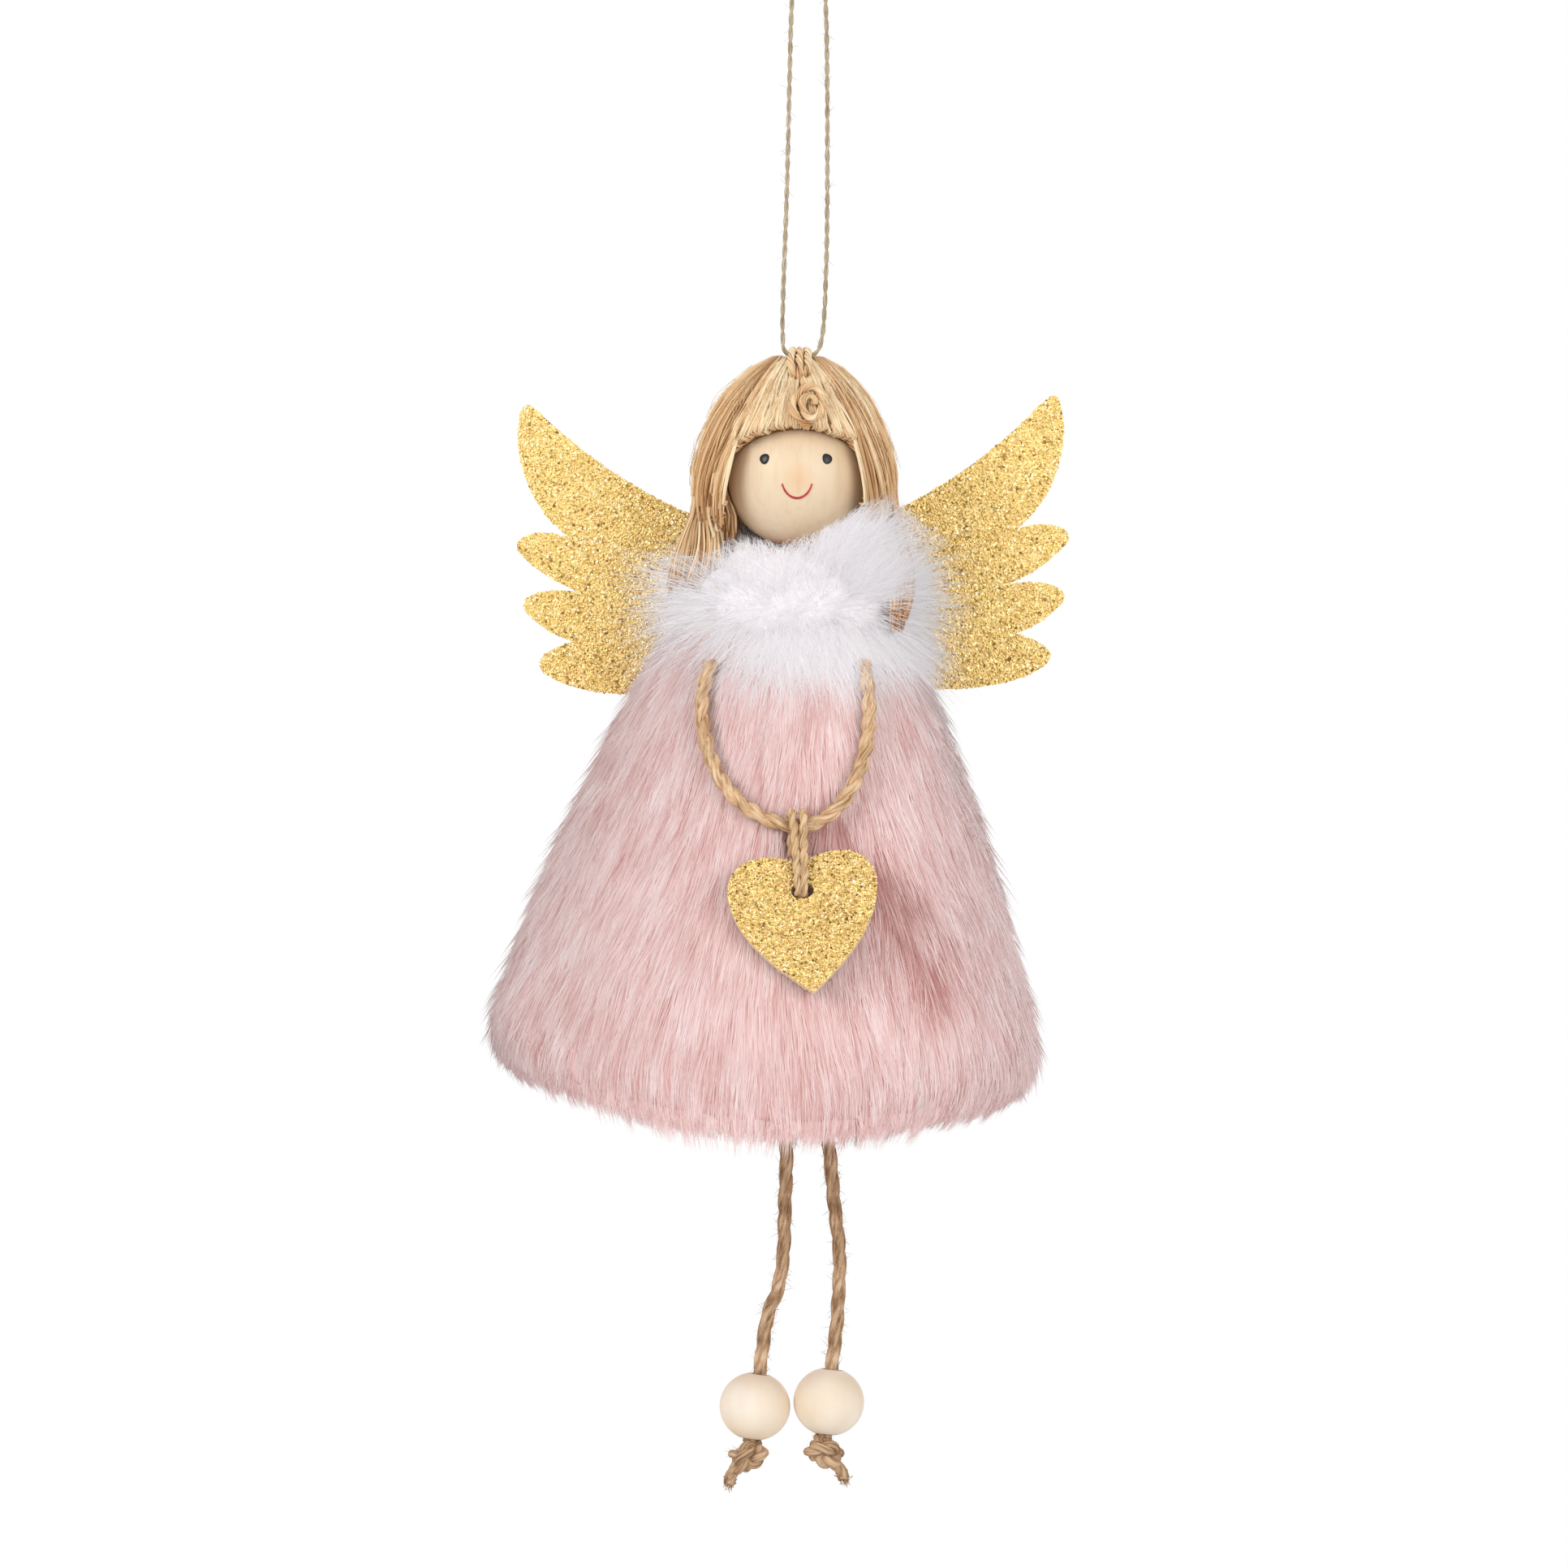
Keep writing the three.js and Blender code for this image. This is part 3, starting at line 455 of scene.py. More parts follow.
def wall(name, outer, inner, material, closed):
    """A wall between two grids of points, either closed round the axis or with two ends."""
    columns, rows = len(outer) - (not closed), outer.shape[1] - 1
    corners = []
    for i in range(columns):
        for j in range(rows):
            corners += [(0, i, j), (0, i, j + 1), (0, i + 1, j + 1), (0, i + 1, j)]
            corners += [(1, i, j), (1, i + 1, j), (1, i + 1, j + 1), (1, i, j + 1)]
        corners += [(0, i, 0), (0, i + 1, 0), (1, i + 1, 0), (1, i, 0)]
        corners += [(0, i + 1, rows), (0, i, rows), (1, i, rows), (1, i + 1, rows)]
    for j in range(0 if closed else rows):
        corners += [(0, 0, j), (1, 0, j), (1, 0, j + 1), (0, 0, j + 1)]
        corners += [(0, columns, j + 1), (1, columns, j + 1), (1, columns, j), (0, columns, j)]
    faces = [(side * len(outer) + i % len(outer)) * (rows + 1) + j for side, i, j in corners]
    points = np.concatenate([outer.reshape(-1, 3), inner.reshape(-1, 3)])
    piece = solid(name, points, np.array(faces).reshape(-1, 4).tolist(), material)
    spots = np.array([(i / columns, j / rows) for _, i, j in corners], np.float32)
    piece.data.uv_layers.new(name="Strand").data.foreach_set("uv", spots.reshape(-1))
    return piece


def shell(name, outer, inner, columns, rows, material):
    """A closed wall between two surfaces that go round the axis."""
    v = np.linspace(0, 1, rows + 1)
    turn = (2 * np.pi * np.arange(columns) / columns)[:, None] + 0 * v
    v = v + 0 * turn
    return wall(name, outer(turn, v), inner(turn, v), material, True)


backing_finish = mottled("plush_backing", 0.95, 0.1, 900,
                         [(0.35, (0.62, 0.40, 0.40)), (0.65, (0.80, 0.58, 0.58))],
                         (1, 1, 0.45), 2, (0.6, 0.3))
backing = shell("dress_backing",
                lambda a, v: on_dress(a, cloth_half(CLOTH_S * v) + 0.45, CLOTH_S * v),
                lambda a, v: on_dress(a, cloth_half(CLOTH_S * v) + 0.05, CLOTH_S * v), 96, 40, backing_finish)


def strand_parts(net):
    """The tone of a strand, and the way from its root to its tip."""
    parts = net.nodes.new("ShaderNodeSeparateXYZ")
    net.links.new(strand_chart(net), parts.inputs["Vector"])
    return parts.outputs["X"], parts.outputs["Y"]


def strand_finish(name, tones, lengths, roughness, sheen=0.0):
    """Fine fibres: each has one tone, and its colour changes from root to tip."""
    material, net, shader = finish(name, roughness, 0.25)
    tone, grown = strand_parts(net)
    coloured(net, shader, mixed(net, ramp(net, tone, tones), ramp(net, grown, lengths)))
    shader.inputs["Sheen Weight"].default_value = sheen
    return material


# The pile's strands are coloured darker towards the root: painted shade deep in the pile.
plush_finish = strand_finish(
    "plush_pile",
    [(0.0, (0.79, 0.56, 0.54)), (0.25, (0.905, 0.75, 0.735)),
     (0.55, (0.965, 0.85, 0.84)), (1.0, (0.995, 0.945, 0.94))],
    [(0.0, (0.84, 0.70, 0.69)), (0.4, (0.95, 0.90, 0.895)), (0.8, WHITE), (1.0, WHITE)], 0.6, 0.25)
# The dense part of the pile is coloured a deeper rose than the strand tips: painted shade between the
# strands.
dense_finish = mottled("plush_dense", 0.9, 0.1, 5, [(0.3, (0.82, 0.60, 0.585)), (0.6, (0.91, 0.74, 0.73))],
                       (60, 4, 1), 4, (0.8, 0.4), strand_chart)

# The pile leaves room for the wings, the heart and its tie, so their places are worked out here.
ARM_X = AXIS_X + 0.3
CORD_R = 1.3
ARM_MID_Z = NECK_Z - 27.7
ARM_DROP = 20
HEART_T = 2
HINGE_Z = ARM_MID_Z - ARM_DROP
HINGE_Y = pile_front(ARM_X, HINGE_Z) - CORD_R - GAP
HEART_SLOPE = max(math.atan2(HINGE_Y - pile_front(ARM_X + side, HINGE_Z - drop) + HEART_T / 2 + GAP, drop)
                  for drop in range(4, 29) for side in range(-12, 13, 4))
WING_Y = 15.6
WING_FOOT_Z = NECK_Z - 1.9 - 22.8
# Two partings in the pile, right of the tie and right of the heart, as (start, end, width) in the front view
PARTINGS = [((11.0, -159.0), (21.5, -177.0), 6.0), ((2.5, -146.5), (8.5, -154.5), 3.6)]
STRANDS = 72000
LOCKS = 9000
CLUMPS = 1500
CORNER = 2400
UNDER = 8000
PILE_R = 0.11
PER_TUFT = 10000
rng = np.random.default_rng(11)
ridges = [(rng.integers(25, 130), rng.uniform(-0.25, 0.25), rng.uniform(0, 6.28)) for _ in range(36)]


def pile_envelope(s):
    """The outside of the pile, with its roll under the hem."""
    over = np.clip((s - PILE_S) / 9.0, 0, 1)
    return pile_half(np.minimum(s, PILE_S)) - 6 * (1 - np.sqrt(1 - over**2))


def parted(spot):
    """How near each place is to a parting, and on which side of it."""
    near, side = np.zeros(spot.shape[:-1]), np.zeros(spot.shape[:-1])
    for start, end, width in PARTINGS:
        way = np.subtract(end, start)
        flat = spot[..., [0, 2]] - start
        share = np.clip(flat @ way / (way @ way), 0, 1)
        here = np.exp(-((flat - share[..., None] * way) ** 2).sum(-1) / width**2) * (spot[..., 1] < 0)
        near += here
        side += here * np.sign(flat[..., 1] * way[0] - flat[..., 0] * way[1])
    return near, side


def pressed(pile):
    """The pile gives way under the flat of the wings, behind the heart and round its tie."""
    y = pile[..., 1]
    under_wing = (pile[..., 2] > WING_FOOT_Z - 1) & (y > WING_Y - 1.6)
    y = np.where(under_wing, WING_Y - 1.6 + 0.04 * (y - WING_Y), y)
    back = HINGE_Y + (pile[..., 2] - HINGE_Z) * math.tan(HEART_SLOPE) + HEART_T / 2 + 0.9
    behind = (np.abs(pile[..., 0] - ARM_X) < 14) & (pile[..., 2] < -156) & (pile[..., 2] > -183)
    y = np.where(behind & (y < back), back, y)
    room = HINGE_Y + CORD_R + 2.2
    behind = (np.abs(pile[..., 0] - ARM_X) < 2.8) & (np.abs(pile[..., 2] - HINGE_Z) < 7)
    pile[..., 1] = np.where(behind & (y < room), room, y)
    return pile


def down_pile(v):
    return 0.5 + (HEM_S - HEM_ROOM - 0.5) * v


def dense(angle, v):
    """The close inner part of the pile, ridged along its lie."""
    s = down_pile(v)
    ridge = sum(np.cos(n * angle + k * s + p) for n, k, p in ridges) / 6
    half = pile_envelope(s) - 1.5 + 0.28 * ridge
    return pressed(on_dress(angle, half - 1.6 * parted(on_dress(angle, half, s))[0], s))


pile_mass = shell("dress_pile_mass", dense,
                  lambda a, v: on_dress(a, cloth_half(CLOTH_S * v) + 0.6, down_pile(v)),
                  360, 120, dense_finish)


def pile_spots(count):
    s = np.linspace(1, HEM_S - 5, 400)
    filled = np.cumsum(pile_half(s)) / pile_half(s).sum()
    return 2 * np.pi * rng.random(count), np.interp(rng.random(count), filled, s)


def short_way(angle):
    """The same angle, at most half a turn either way."""
    return (angle + math.pi) % (2 * math.pi) - math.pi


def gathers(count):
    """Strands gather to the nearest of so many middles: the turn and the drop to it, and which it is."""
    middle_angle, middle_s = pile_spots(count)
    tree = kdtree.KDTree(count)
    for k, spot in enumerate(on_dress(middle_angle, pile_half(middle_s), middle_s)):
        tree.insert(spot, k)
    tree.balance()
    of = np.array([tree.find(spot)[1] for spot in on_dress(angle, pile_half(s0), s0)])
    return short_way(middle_angle[of] - angle), middle_s[of] - s0, of


def bent(root, knee, tip):
    t = np.array([0, 0.34, 0.68, 1.0])[None, :, None]
    return (1 - t) ** 2 * root[:, None] + 2 * t * (1 - t) * knee[:, None] + t**2 * tip[:, None]


angle, s0 = pile_spots(STRANDS)
lock_turn, lock_drop, lock_of = gathers(LOCKS)
fall = 7.5 + 3.0 * rng.random(STRANDS) + 1.5 * rng.random(LOCKS)[lock_of]
wave = 0.03 * np.sin(3 * angle + 0.06 * s0 + 1.0) + 0.02 * np.sin(7 * angle - 0.11 * s0)
clump_turn, _, clump_of = gathers(CLUMPS)
wave += 0.75 * rng.normal(0, 1, CLUMPS)[clump_of] / pile_half(s0) + 0.22 * clump_turn
near, side = parted(on_dress(angle, pile_half(s0 + 3), s0 + 3))
tip_angle = angle + 0.5 * lock_turn + wave + rng.normal(0, 0.45, STRANDS) / pile_half(s0) + 0.05 * side
tip_s = np.minimum(s0 + fall + 0.4 * lock_drop, HEM_S - 1.8 + 4.0 * rng.random(LOCKS)[lock_of])
below = 1.0 * rng.random(STRANDS) ** 1.6 + 0.7 * (rng.random(LOCKS)[lock_of] - 0.4) + 1.5 * near
below -= 2.0 * rng.random(STRANDS) * (rng.random(STRANDS) < 0.14)
below += 1.1 * (rng.random(CLUMPS)[clump_of] - 0.55)
tone = 0.54 + 0.14 * rng.normal(0, 0.6, CLUMPS)[clump_of] + 0.40 * (rng.random(LOCKS)[lock_of] - 0.5)
# Strands near a parting take darker tones: painted shade in the partings.
tone += 0.50 * (rng.random(STRANDS) - 0.5) - 0.36 * near
knee_s = s0 + 0.35 * fall
root = on_dress(angle, pile_envelope(s0) - 2.4 - 1.5 * near, s0)
knee = on_dress(angle + 0.4 * (tip_angle - angle), pile_envelope(knee_s) - 0.2 - 1.5 * near, knee_s)
tip = on_dress(tip_angle, pile_envelope(np.minimum(tip_s, HEM_S)) - below, tip_s)
long_pile = pressed(bent(root, knee, tip))

# At the two lower corners the longest strands stand out past the roll of the hem.
corner = rng.choice([0, math.pi], CORNER) + rng.normal(0, 0.28, CORNER)
corner_s = rng.uniform(PILE_S - 8, PILE_S + 1.5, CORNER)
tip_s = np.minimum(corner_s + rng.uniform(5, 10, CORNER), HEM_S - 4.0 * rng.random(CORNER))
root = on_dress(corner, pile_envelope(corner_s) - 1.0, corner_s)
tip_turn = corner + rng.normal(0, 0.012, CORNER)
tip_half = pile_half(PILE_S) + rng.normal(-1.3, 1.1, CORNER) - 0.25 * np.maximum(tip_s - PILE_S - 3, 0)
tip = on_dress(tip_turn, tip_half, tip_s)
knee = 0.5 * (root + tip) + unit(root - [AXIS_X, 0, 0]) * [0.5, 0.5, 0]
corner_pile = bent(root, knee, tip)
corner_tone = rng.uniform(0.4, 0.8, CORNER)

# The lower edge of the pile, seen from below: short strands that hang between the hem and the cloth.
under = 2 * np.pi * rng.random(UNDER)
half = rng.uniform(cloth_half(CLOTH_S) + 1, pile_envelope(HEM_S - 1), UNDER)
t = np.linspace(0, 1, 4)[None, :] * np.ones((UNDER, 1))
under_pile = on_dress(under[:, None] + 0.03 * rng.normal(size=(UNDER, 1)) * t,
                      half[:, None] + rng.normal(0, 1, (UNDER, 1)) * t,
                      HEM_S - HEM_ROOM - 1 + (HEM_ROOM + 1 + rng.uniform(-1.5, 0.3, (UNDER, 1))) * t)

pile = np.concatenate([long_pile, corner_pile, under_pile])
turned = np.concatenate([tip_angle, corner, under])
# The strands under the hem take darker tones: painted shade under the hem.
tone = np.clip(np.concatenate([tone, corner_tone, rng.uniform(0.15, 0.5, UNDER)]), 0.02, 0.97)
slope = math.radians(22)
level = unit(np.stack([DEPTH * np.cos(turned), np.sin(turned)], axis=-1)) * math.cos(slope)
outward = np.concatenate([level, np.full((len(pile), 1), math.sin(slope))], axis=-1)
outward[-UNDER:, 2] *= -1
stout = PILE_R * (0.75 + 0.5 * rng.random(len(pile)))[:, None] * np.array([1.0, 0.95, 0.7, 0.15])
fitted(backing, "angel", "plush", "dress")
tufts = [fitted(pile_mass, "angel", "plush")]
for k in range(0, len(pile), PER_TUFT):
    pick = slice(k, k + PER_TUFT)
    tuft = sweep("dress_pile_%d" % (k // PER_TUFT + 1), pile[pick], stout[pick], 3, tone[pick], plush_finish,
                 pointed=True, lie=outward[pick])
    tufts.append(fitted(tuft, "angel", "plush"))

# Arms: one cord of laid jute for both, glued in at the shoulders and hung in a bow on the pile.
# The cord has two plies with stray fibres, and the heart hangs from the bottom of the bow.
jute = jute_finish("jute", (0.62, 0.45, 0.31), (0.90, 0.745, 0.58), (0.98, 0.895, 0.77))
ARM_REACH = math.radians(114)
ARM_LEFT, ARM_RIGHT = 16.7, 12
bow = []
for k in range(17):
    turn = ARM_REACH * (k / 8 - 1)
    x = ARM_X + (ARM_LEFT if turn < 0 else ARM_RIGHT) * math.sin(turn)
    z = ARM_MID_Z - ARM_DROP * math.cos(turn)
    bow.append((x, pile_front(x, z) - CORD_R - GAP, z))
arm_line = smooth_path(bow, 0.35)
rng = np.random.default_rng(5)
arms = fitted(cord_piece("arms_jute", arm_line, CORD_R, 7.5, jute, snug=0.07), "arms", "jute", "arms_cord")
arms_fuzz = fitted(fuzz("arms_fuzz", arm_line, CORD_R, 420, 2.2, 0.035, jute), "arms", "jute")

# Heart: die-cut foam sheet with gold glitter glued on both faces, and a hole for its tie.
# The tie is one thin jute yarn, wound twice over the arms and through the hole.
HEART_AXES = np.array([[1, 0, 0], [0, math.sin(HEART_SLOPE), math.cos(HEART_SLOPE)],
                       [0, -math.cos(HEART_SLOPE), math.sin(HEART_SLOPE)]])
TIE_R = 0.7
TIE_HALF = CORD_R + 0.35 + TIE_R
TIE_RUN = 11.6 - TIE_HALF
TIE_PITCH = 2 * TIE_R + 0.45


def tie_point(lap):
    """One lap runs up the back, over the arms, down the front and through the hole."""
    bend = math.pi * TIE_HALF
    along = (lap % 1) * 2 * (bend + TIE_RUN)
    x = TIE_PITCH * (lap - 1)
    for part, size in (("rise", TIE_RUN / 2), ("over", bend), ("fall", TIE_RUN), ("under", bend),
                       ("back", TIE_RUN)):
        if along < size:
            break
        along -= size
    turn = along / TIE_HALF
    return {"rise": (x, along - TIE_RUN / 2, -TIE_HALF),
            "over": (x, TIE_HALF * math.sin(turn), -TIE_HALF * math.cos(turn)),
            "fall": (x, -along, TIE_HALF),
            "under": (x, -TIE_RUN - TIE_HALF * math.sin(turn), TIE_HALF * math.cos(turn)),
            "back": (x, along - TIE_RUN, -TIE_HALF)}[part]


straw = jute_finish("straw", (0.64, 0.47, 0.31), (0.92, 0.775, 0.60), (0.99, 0.91, 0.78))
laps = np.array([tie_point(min(k / 40, 2 - 1e-6)) for k in range(81)])
laps[:, 0] *= 1 - 0.5 * np.clip((TIE_HALF - laps[:, 1]) / (2 * TIE_HALF + TIE_RUN), 0, 1)
laps[:, 1] -= 0.5 * np.clip(-laps[:, 1] / TIE_RUN, 0, 1) ** 2
tie_line = smooth_path(laps @ HEART_AXES + [ARM_X, HINGE_Y, HINGE_Z], 0.25)
fitted(cord_piece("heart_tie_jute", tie_line, 1.1 * TIE_R, 5.0, straw), "heart", "straw", "heart_tie")
fitted(fuzz("heart_tie_fuzz", tie_line, TIE_R, 160, 1.8, 0.03, straw), "heart", "straw")

foam_gold, net, shader = finish("foam_gold", 0.35)
spot = net.nodes.new("ShaderNodeTexCoord").outputs
grain = net.nodes.new("ShaderNodeTexVoronoi")
grain.inputs["Scale"].default_value = 3200
net.links.new(spot["Object"], grain.inputs["Vector"])
speck = ramp(net, grain.outputs["Color"],
             [(0.1, (0.62, 0.49, 0.25)), (0.3, (0.83, 0.69, 0.40)), (0.8, (0.94, 0.82, 0.54))])
cut_edge = ramp(net, noise(net, spot["Object"], 1500), [(0.3, (0.86, 0.76, 0.55)), (0.7, (0.97, 0.91, 0.78))])
facing = net.nodes.new("ShaderNodeSeparateXYZ")
net.links.new(spot["Normal"], facing.inputs["Vector"])
on_face = reckoned(net, "GREATER_THAN", reckoned(net, "ABSOLUTE", facing.outputs["Y"], 0.0), 0.6)
coloured(net, shader, mixed(net, cut_edge, speck, "MIX", on_face))
net.links.new(on_face, shader.inputs["Metallic"])
bumped(net, shader, grain.outputs["Distance"], 0.8, 0.2)


def flake_finish(name, tones):
    """Gold flakes of many tones."""
    material, net, shader = finish(name, 0.5)
    shader.inputs["Metallic"].default_value = 0.85
    coloured(net, shader, ramp(net, strand_parts(net)[0], tones))
    return material


def glitter(node, body, each, flake_half, material):
    """Small flat flakes glued at odd tilts on both faces of a foam sheet, so many to a square millimetre."""
    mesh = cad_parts[node].data
    mesh.calc_loop_triangles()
    corners = np.array([[mesh.vertices[v].co for v in t.vertices] for t in mesh.loop_triangles], float) / MM
    lift = np.cross(corners[:, 1] - corners[:, 0], corners[:, 2] - corners[:, 0])
    area = np.linalg.norm(lift, axis=1) / 2
    lift = unit(lift)
    for side, sign in (("front", -1), ("back", 1)):
        face = np.where(sign * lift[:, 1] > 0.6, area, 0)
        count = int(face.sum() * each)
        pick = rng.choice(len(face), count, p=face / face.sum())
        a, b = rng.random((2, count))
        a, b = np.where(a + b > 1, 1 - a, a), np.where(a + b > 1, 1 - b, b)
        c = corners[pick]
        foot = c[:, 0] + a[:, None] * (c[:, 1] - c[:, 0]) + b[:, None] * (c[:, 2] - c[:, 0])
        tilted = unit(lift[pick] + rng.normal(0, 0.11, (count, 3)))
        foot = foot + lift[pick] * rng.uniform(0.0, 0.12, (count, 1))
        size = flake_half * rng.uniform(0.65, 1.35, (count, 1)) * np.ones((1, 2))
        piece = sweep("%s_glitter_%s" % (node, side), np.stack([foot, foot + 0.07 * tilted], axis=1), size, 4,
                      rng.random(count), material, cell=0.02)
        piece.data.polygons.foreach_set("use_smooth", np.zeros(len(piece.data.polygons), bool))
        fitted(piece, body, "glitter")


def refinished(node, material):
    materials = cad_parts[node].data.materials
    materials.clear()
    materials.append(material)


refinished("heart", foam_gold)
# The heart's flakes are coloured darker than the wings': painted shade, as both are one glitter.
heart_gold_shaded = flake_finish("heart_flakes_shaded", [
    (0.0, (0.36, 0.27, 0.14)), (0.06, (0.52, 0.40, 0.21)), (0.14, (0.78, 0.64, 0.39)),
    (0.6, (0.87, 0.735, 0.48)), (0.9, (0.94, 0.84, 0.60)), (1.0, (0.995, 0.95, 0.82))])
rng = np.random.default_rng(21)
glitter("heart", "heart", 9.0, 0.20, heart_gold_shaded)

# Wings: one die-cut foam sheet with the same glitter on both faces, glued flat on the back of the dress with
# a pad of white glue. Its flakes are coloured paler than the heart's: painted light, as both are one glitter.
refinished("wings", foam_gold)
wing_gold_lit = flake_finish("wing_flakes_lit", [
    (0.0, (0.46, 0.36, 0.19)), (0.05, (0.64, 0.51, 0.28)), (0.12, (0.89, 0.755, 0.47)),
    (0.6, (0.965, 0.84, 0.55)), (0.9, (0.99, 0.905, 0.67)), (1.0, (1.0, 0.975, 0.87))])
glitter("wings", "angel", 4.9, 0.245, wing_gold_lit)
glue_finish = mottled("white_glue", 0.3, 0.5, 400, [(0.3, (0.88, 0.86, 0.78)), (0.7, (0.96, 0.95, 0.90))],
                      bump=(0.4, 0.4))
refinished("wing_glue", glue_finish)

# Core: a rolled cone of kraft card under the plush, the jute cord through the head and the neck
# of the cone, and the hitch knot under it that carries the dress and both legs.
HITCH_R = 3.2
HITCH_Z = NECK_Z - 8.6
card_finish = mottled("kraft_card", 0.9, 0.15, 700, [(0.3, (0.72, 0.63, 0.50)), (0.7, (0.87, 0.80, 0.69))],
                      (1, 1, 0.4), 5, (0.4, 0.1))
refinished("body_cone", card_finish)


def knot_line(across, tall, step):
    """A closed overhand knot about the origin, drawn up tight."""
    t = np.linspace(0.2, 2 * math.pi + 0.05, 72)
    reach = across * (2 + np.cos(3 * t))
    turns = np.stack([reach * np.cos(2 * t), reach * np.sin(2 * t), tall * np.sin(3 * t)], axis=1)
    return smooth_path(turns, step)


neck_line = smooth_path([(AXIS_X, 0, z) for z in (CROWN_Z - 1.8, HEAD_Z, HITCH_Z + HITCH_R + GAP)], 0.4)
fitted(cord_piece("neck_jute", neck_line, 1.2, 6.5, jute), "angel", "jute", "neck_cord")
hitch_line = knot_line(0.72, 1.7, 0.4) + [AXIS_X, 0, HITCH_Z]
fitted(cord_piece("hitch_knot_jute", hitch_line, 1.1, 5.5, jute), "angel", "jute", "hitch_knot")

# Legs: two lengths of darker laid jute from the hitch knot, loose below the hem. Each runs through
# a bored wooden bead that rests on a stop knot with a frayed tail.
leg_jute = jute_finish("leg_jute", (0.48, 0.36, 0.26), (0.76, 0.62, 0.49), (0.92, 0.82, 0.70))
HIP_Z = NECK_Z - 102.9
BEAD_R, BEAD_HALF, BEAD_BORE_R = 6.1, 5.9, 1.95
KNOT_R, TAIL_R = 1.32, 1.15
FRAYED_ENDS = 46
UP = np.array([0, 0, 1])
bead_finish, net, shader = finish("bead_wood", 0.7, 0.2)
rays = noise(net, place_on(net), 220, (1, 1, 0.18), 4)
warmth = noise(net, place_on(net), 60, (1, 1, 1), 2)
base = ramp(net, rays, [(0.3, (0.925, 0.87, 0.795)), (0.55, (0.945, 0.895, 0.83)),
                        (0.75, (0.955, 0.915, 0.865))])
blot = ramp(net, warmth, [(0.35, (0.975, 0.94, 0.89)), (0.6, WHITE)])
coloured(net, shader, mixed(net, base, blot))
bumped(net, shader, rays, 0.25, 0.05)


def turned_ball(name, middle, radius, half, bore, tilt, material, columns=96):
    """A turned wooden ball with a straight bore."""
    start = math.asin(bore / radius)
    rim = half * math.cos(start)
    profile = [(radius * math.sin(a), half * math.cos(a)) for a in np.linspace(start, math.pi - start, 49)]
    profile = np.array(profile + [(bore - 0.04, -rim + 0.08), (bore - 0.04, rim - 0.08)])
    spin = 2 * np.pi * np.arange(columns)[:, None] / columns
    x = profile[None, :, 0] * np.cos(spin)
    y = profile[None, :, 0] * np.sin(spin)
    z = profile[None, :, 1] + 0 * x
    points = np.stack([x * math.cos(tilt) + z * math.sin(tilt), y,
                       z * math.cos(tilt) - x * math.sin(tilt)], axis=-1)
    rows = len(profile)
    faces = []
    for i in range(columns):
        a, b = i * rows, (i + 1) % columns * rows
        for j in range(rows):
            on = (j + 1) % rows
            faces.append((a + j, a + on, b + on, b + j))
    return solid(name, (points + middle).reshape(-1, 3), faces, material)


